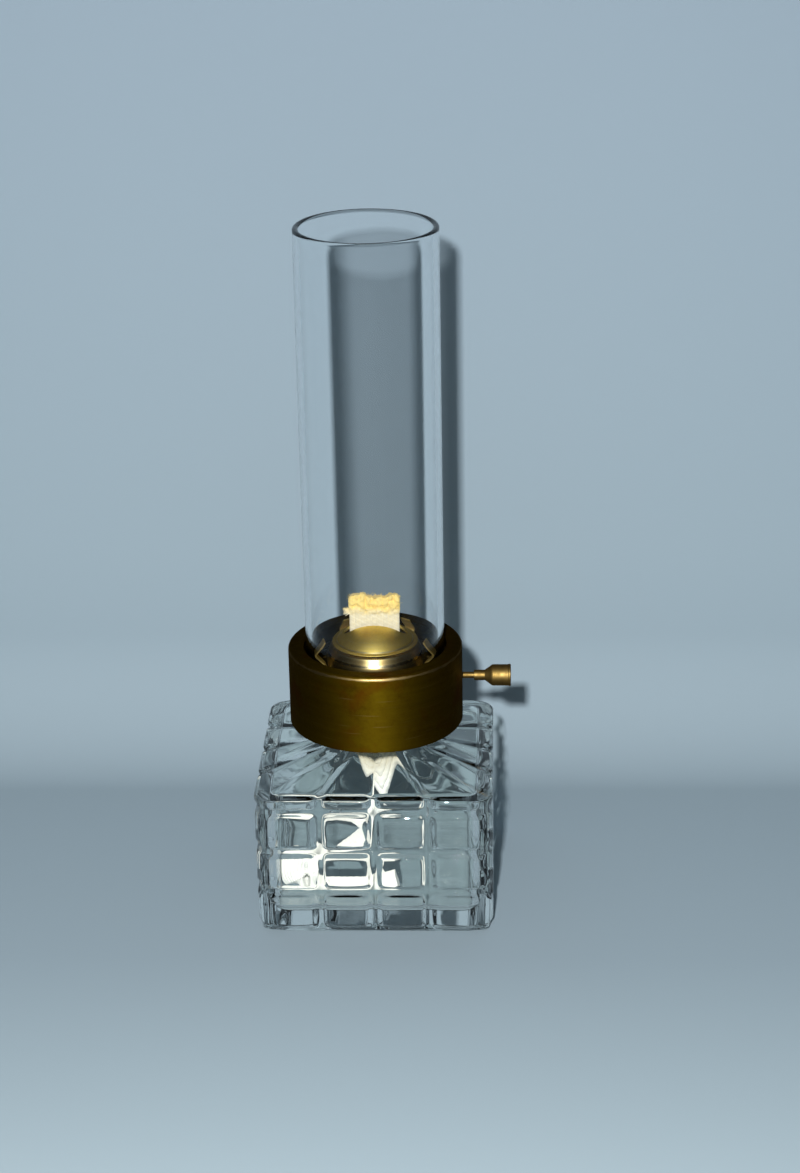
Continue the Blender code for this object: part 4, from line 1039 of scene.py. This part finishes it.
def eased_copy(node, name, material):
    """A welded copy of a CAD node with softly bevelled edges."""
    bm = bmesh.new()
    bm.from_mesh(frame["nodes"][node].data)
    bmesh.ops.remove_doubles(bm, verts=bm.verts, dist=0.001 * MM)
    bmesh.ops.dissolve_limit(bm, angle_limit=math.radians(1.0), verts=bm.verts, edges=bm.edges)
    bodies = frame["record"]["behaviour"]["bodies"]
    body = next(b for b, nodes in bodies.items() if node in nodes)
    made = piece(name, bm, material, body, node, recalc=False)
    bevel = made.modifiers.new("eased", "BEVEL")
    bevel.width, bevel.segments, bevel.limit_method = EASE, 2, "ANGLE"
    bevel.angle_limit = math.radians(40.0)


def cork_material():
    """Pressed cork: grains of several browns with dark seams between them."""
    made, bench, shader, _ = new_material("cork")
    grain = bench.add("TexVoronoi", {"Vector": bench.place(), "Scale": 1500.0}).outputs
    tone = bench.span(grain["Color"], 0.0, 1.0)
    colour = bench.blend(tone, (0.30, 0.17, 0.08, 1), (0.52, 0.34, 0.18, 1))
    seam = bench.span(grain["Distance"], 0.45, 0.75)
    bench.fill(shader.inputs, {
        "Base Color": bench.blend(seam, colour, (0.12, 0.06, 0.03, 1)),
        "Roughness": 0.85,
        "Normal": bench.bump(bench.maths("SUBTRACT", 1.0, seam), 0.00005),
    })
    return made


for node, name in (
    ("air_plate", "gallery_plate"), ("wick_tube", "tube"), ("spindle_bracket", "bracket"),
    ("wick_wheel_left", "wheel_left"), ("wick_wheel_right", "wheel_right"),
    ("spindle_collar", "collar"),
):
    eased_copy(node, name, dull_brass)
eased_copy("neck_gasket", "gasket_ring", cork_material())

# %% [markdown]
# ## Wick knob and spindle
# The knob is turned from brass rod: a thin sleeve, a cone and a barrel with a raised rim
# that fingers can grip. Years of handling have left it satin.

# %% Knob
bright_brass = metal(
    "bright_brass", clean=(0.26, 0.178, 0.056), dark=(0.14, 0.083, 0.02), warm=(0.20, 0.11, 0.026),
    rough=0.48, amount=0.55, scale=260.0, spacing=0.00015, marks=0.000003,
    wear_and_highlight_colour=(0.62, 0.47, 0.20), scratch=0.3,
    along=((0.0577, -0.0033, 0.0), (0.0, -math.pi / 2, 0.0)),
)


def laid_along_x(bm):
    """Turns a piece from the Z axis onto the spindle's axis."""
    bmesh.ops.transform(bm, matrix=along_x(SPINDLE_PLACE), verts=bm.verts)
    return bm


knob_bm = turned(
    [(1.05, 25.1, 0.05), (1.35, 25.1, 0.08), (1.35, 27.9, 0.1), (2.35, 29.3, 0.25),
     (2.75, 29.8, 0.3), (2.75, 34.0, 0.05), (2.87, 34.12, 0.05), (2.87, 34.5, 0.08),
     (2.6, 34.6, 0.1), (0, 34.6, 0), (0, 33.3, 0), (1.05, 33.3, 0.05)],
    steps=96, segments=4,
)
shaft_bm = turned([(0, -9.0, 0), (0.8, -9.0, 0.15), (0.8, 33.0, 0.15), (0, 33.0, 0)],
                  steps=48, segments=3)
for name, bm, node in (("knob", knob_bm, "wick_knob"), ("shaft", shaft_bm, "wick_spindle")):
    piece(name, laid_along_x(bm), bright_brass, "spindle", node)

# %% [markdown]
# ## Wick
# A flat wick is woven from soft cotton cords lying side by side. Its head is loose and
# toasted by the flame. The band is a ring of points shaped like nine cords, extruded
# along the wick, and each ring is moved in and out as the weave goes over and under.

# %% The woven band
WICK_W, WICK_T, CORDS, CORD_POINTS = 12.7, 1.8, 9, 8
CORD_DEPTH, STITCH, STITCH_DEPTH = 0.34, 1.5, 0.05


def band_section(width, thickness, along, loose=None):
    """Points (across, out) round the band at a length along it, in mm."""
    face = []
    count = CORDS * CORD_POINTS
    for i in range(count + 1):
        share = i / count
        cord, within = min(CORDS - 1, int(share * CORDS)), (share * CORDS) % 1.0
        rib = math.sqrt(max(0.0, 1 - (2 * within - 1) ** 2 * 0.92))
        stitch = math.sin(math.tau * along / STITCH + math.pi * cord)
        edge = 1 - 0.35 * abs(2 * share - 1) ** 8
        out = (thickness / 2 - CORD_DEPTH * (1 - rib)) * edge + STITCH_DEPTH * stitch * rib
        if loose:
            out += loose(cord, share, along)
        face.append(((share - 0.5) * width, out))
    back = [(across, -out) for across, out in reversed(face)]
    return face + back


def band_mesh(frames, section_at):
    """The band along frames of (centre, across, through), in mm, with a UV map along it."""
    rings, lengths, run = [], [], 0.0
    for i, (centre, across, through) in enumerate(frames):
        if i:
            run += (centre - frames[i - 1][0]).length
        lengths.append(run)
        rings.append([centre + across * a + through * o for a, o in section_at(i, run)])
    bm = bmesh.new()
    rows = lofted(bm, rings)
    layer = bm.loops.layers.uv.new("band")
    places = {v: (j / len(row), lengths[i] * MM)
              for i, row in enumerate(rows) for j, v in enumerate(row)}
    for face in bm.faces:
        low = min(places[l.vert][0] for l in face.loops)
        for loop in face.loops:
            u, v = places[loop.vert]
            loop[layer].uv = (u + 1.0 if u - low < 0 else u, v)
    return bm


def make_weave():
    """Twisted threads of a cord, and its fuzz, from the band's own UV map."""
    bench, given, result = new_group("cotton threads", {"UV": "Vector", "Vector": "Vector"},
                                     {"Height": "Float", "Shade": "Float"})
    part = bench.parts(given["UV"])
    run = bench.maths("MULTIPLY", part[1], 2600.0)
    slant = bench.maths("MULTIPLY_ADD", part[0], 2 * CORDS * 2.0, run)
    twist = bench.maths("SINE", bench.maths("MULTIPLY", slant, math.tau / 2))
    fuzz = bench.noise(given["Vector"], 5200.0, 5.0, 0.7)
    both = bench.maths("MULTIPLY_ADD", twist, 0.10, fuzz)
    # Shade is the fuzz's random tone and a painted shade where the twisted threads dip
    bench.fill(result, {"Height": both, "Shade": bench.span(both, 0.2, 0.8)})
    return bench.tree


WEAVE = make_weave()


def cotton(name, pale, deep, scorch_and_shade):
    """Soft cotton. scorch_and_shade is (low, high, colour): heights between which it turns brown,
    scorched at the head and painted shade on the tail.
    """
    made, bench, shader, _ = new_material(name)
    place = bench.place()
    uv = bench.add("UVMap", uv_map="band").outputs[0]
    thread = bench.group(WEAVE, {"UV": uv, "Vector": place})
    # the deep colour falls where the threads dip: painted shade on top of random tone
    colour = bench.blend(thread["Shade"], rgba(deep), rgba(pale))
    low, high, brown = scorch_and_shade
    patch = bench.noise(place, 600.0, 4.0)
    height = bench.maths("SUBTRACT", bench.parts(place)[2], 0.0015)
    ragged = bench.maths("MULTIPLY_ADD", patch, 0.003, height)
    bench.fill(shader.inputs, {
        "Base Color": bench.blend(bench.span(ragged, low, high), colour, rgba(brown)),
        "Roughness": 0.95,
        "Sheen Weight": 0.25,
        "Sheen Roughness": 0.4,
        "Normal": bench.bump(thread["Height"], 0.00006, 0.8),
    })
    return made


print("band:", CORDS, "cords")

# %% Wick
WICK_LOW, WICK_MIDDLE, WICK_HIGH, HEAD_LOW = 37.85, 69.0, 81.5, 76.7
GATHER_TOP, GATHERED_W, GATHERED_T = 44.0, 10.0, 2.3
HEAD_MORE_W, HEAD_MORE_T, CLOSE_RUN = 0.35, 0.45, 1.1  # the head swells, then closes at its top
chance = random.Random(11)
cord_tops = [chance.uniform(-0.5, 0.5) for _ in range(CORDS)]
cotton_head = cotton("cotton_head", (0.92, 0.86, 0.66), (0.82, 0.73, 0.48),
                     scorch_and_shade=(0.0764, 0.0786, (0.99, 0.76, 0.26)))


def wick_frames():
    """Level rings up the wick, closer together where it shows."""
    heights = [WICK_LOW + (WICK_MIDDLE - WICK_LOW) * i / 34 for i in range(34)]
    heights += [WICK_MIDDLE + (WICK_HIGH - WICK_MIDDLE) * i / 56 for i in range(57)]
    return [(Vector((0, 0, h)), Vector((1, 0, 0)), Vector((0, -1, 0))) for h in heights]


def wick_section(index, run):
    """The ring at a height: gathered at the foot, swollen and lumpy at the head."""
    height = WICK_LOW + run
    gathered = max(0.0, (GATHER_TOP - height) / (GATHER_TOP - WICK_LOW))
    width = WICK_W + (GATHERED_W - WICK_W) * gathered
    thickness = WICK_T + (GATHERED_T - WICK_T) * gathered
    head = clamp((height - HEAD_LOW) / 1.2)
    close = clamp((height - (WICK_HIGH - CLOSE_RUN)) / CLOSE_RUN)

    def loose(cord, share, along):
        lump = noise.noise(Vector((share * 7.0, along * 0.7, 3.0))) * 0.9
        lump += noise.noise(Vector((share * 16.0, along * 1.6, 8.0))) * 0.5
        return head * lump - close**2 * 0.35

    width += HEAD_MORE_W * head - 1.2 * close**2
    return band_section(width, thickness + HEAD_MORE_T * head, run, loose)


wick_bm = band_mesh(wick_frames(), wick_section)
for vert in wick_bm.verts:
    above = vert.co.z / MM - HEAD_LOW
    if above > 0:
        share = vert.co.x / MM / WICK_W + 0.5
        lift = cord_tops[min(CORDS - 1, max(0, int(share * CORDS)))] + 0.4 * math.sin(share * 9.0)
        vert.co.z += lift * MM * min(1.0, above / 3.5)
piece("wick_band", wick_bm, cotton_head, "wick", "wick", sharp=80.0, recalc=False)

# %% Frayed threads
THREAD_STEPS = 5
TOP_AND_SIDE_THREADS, LEFT_THREADS = 520, 26
FINE_R, THICK_R, LEFT_R = 0.055, 0.13, 0.16


def thread(bm, start, direction, length, radius, curl):
    """One loose thread: three points extruded along a curling line, in mm."""
    rings, heading, centre = [], direction.normalized(), start.copy()
    for i in range(THREAD_STEPS + 1):
        side = heading.orthogonal().normalized()
        other = heading.cross(side)
        size = radius * (1 - 0.6 * i / THREAD_STEPS)
        rings.append([centre + (side * math.cos(a) + other * math.sin(a)) * size
                      for a in (0.0, math.tau / 3, 2 * math.tau / 3)])
        centre = centre + heading * length / THREAD_STEPS
        heading = (heading + curl).normalized()
    lofted(bm, rings, closed_foot=False)


fray_bm = bmesh.new()
fray_bm.loops.layers.uv.new("band")
for _ in range(TOP_AND_SIDE_THREADS):
    across = chance.uniform(-6.2, 6.2)
    crest = WICK_HIGH - 0.5 + cord_tops[min(CORDS - 1, int((across / WICK_W + 0.5) * CORDS))]
    on_top = chance.random() < 0.6
    start = Vector((across, chance.uniform(-0.8, 0.8), crest - 0.3))
    heading = Vector((chance.gauss(0, 0.45) + across * 0.04, chance.gauss(0, 0.5), 1.0))
    if not on_top:
        side = chance.choice((-1, 1))
        start = Vector((across, side * 0.85, crest - chance.uniform(0.2, 3.6)))
        heading = Vector((chance.gauss(0, 0.5), side * chance.uniform(0.3, 0.9),
                          chance.uniform(0.1, 1.0)))
    curl = Vector([chance.gauss(0, 0.22) for _ in range(3)])
    radius = THICK_R if chance.random() < 0.12 else FINE_R
    thread(fray_bm, start, heading, chance.uniform(0.7, 1.5), radius, curl)
for _ in range(LEFT_THREADS):
    heading = Vector((-1.0, chance.gauss(0, 0.3), chance.gauss(0.05, 0.25)))
    start = Vector((-5.9, chance.uniform(-0.6, 0.3), chance.uniform(76.8, 77.7)))
    length = chance.uniform(1.4, 2.2)
    thread(fray_bm, start, heading, length, LEFT_R, Vector((0.1, chance.gauss(0, 0.1), -0.05)))
piece("wick_fray", fray_bm, cotton_head, "wick", sharp=80.0, recalc=False)

# %% [markdown]
# ## Tail of the wick
# Below the tube the wick is slack. It hangs down the neck, swings to the left wall, turns
# over and lies along the floor of the font. It stretches when the wick is wound up, but
# here it is built in one place and rides on no body.

# %% Tail
TAIL_ROUTE = (  # places in mm
    (0.0, 0.0, 37.85), (-0.1, -0.4, 34.0), (-0.3, -1.0, 29.5), (-0.2, -2.0, 26.0),
    (-0.9, -3.3, 22.3), (-2.9, -5.0, 18.9), (-6.0, -6.8, 15.9), (-9.7, -8.4, 14.1),
    (-13.6, -9.8, 13.9), (-17.4, -10.8, 14.4), (-20.6, -11.3, 13.2), (-22.0, -12.0, 9.9),
    (-20.4, -12.4, 7.0), (-16.5, -12.6, 6.3), (-9.5, -12.7, 6.3), (-3.3, -12.7, 6.3),
    (2.4, -12.6, 6.6), (5.2, -12.4, 7.4),
)
TAIL_SHAPE = (  # heading of its width in degrees from X, its width and thickness in mm
    (0, 10.0, 2.3), (8, 8.4, 2.4), (20, 7.8, 2.4), (40, 7.6, 2.4), (65, 7.4, 2.2),
    (85, 6.8, 2.0), (90, 6.2, 1.9), (92, 6.2, 1.9), (100, 6.6, 2.0), (120, 7.6, 2.2),
    (145, 8.4, 2.4), (160, 8.6, 2.4), (140, 7.6, 2.3), (105, 5.4, 2.2), (90, 4.8, 2.2),
    (90, 4.8, 2.4), (90, 5.4, 3.4), (90, 5.0, 4.4),
)
TAIL_STEPS = 16
FONT_FLOOR = 5.25
# painted shade: the tail's top, under the shoulder and the burner, is painted a darker beige
tail_cotton = cotton("cotton_tail", (0.99, 0.98, 0.94), (0.90, 0.87, 0.78),
                    scorch_and_shade=(0.030, 0.038, (0.50, 0.43, 0.28)))


def tail_frames():
    """Centre, width and thickness directions along the tail, and its width and thickness."""
    line = smooth_route(TAIL_ROUTE, TAIL_STEPS)
    shape = smooth_route(TAIL_SHAPE, TAIL_STEPS)
    frames = []
    for i, (point, (degrees, width, thickness)) in enumerate(zip(line, shape)):
        tangent = (line[min(i + 1, len(line) - 1)] - line[max(i - 1, 0)]).normalized()
        if i == 0:
            tangent = Vector((0, 0, -1))
        angle = math.radians(degrees)
        hint = Vector((math.cos(angle), math.sin(angle), 0))
        across = (hint - tangent * hint.dot(tangent)).normalized()
        through = tangent.cross(across)
        sunk = FONT_FLOOR - (point.z - abs(across.z) * width / 2 - abs(through.z) * thickness / 2)
        frames.append((point + Vector((0, 0, max(0.0, sunk))), across, through, width, thickness))
    return frames


tail_run = tail_frames()
tail_bm = band_mesh([f[:3] for f in tail_run],
                    lambda index, run: band_section(*tail_run[index][3:], run))
tail = piece("tail_band", tail_bm, tail_cotton, None, "wick_tail", sharp=80.0,
             recalc=False)
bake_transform(tail)
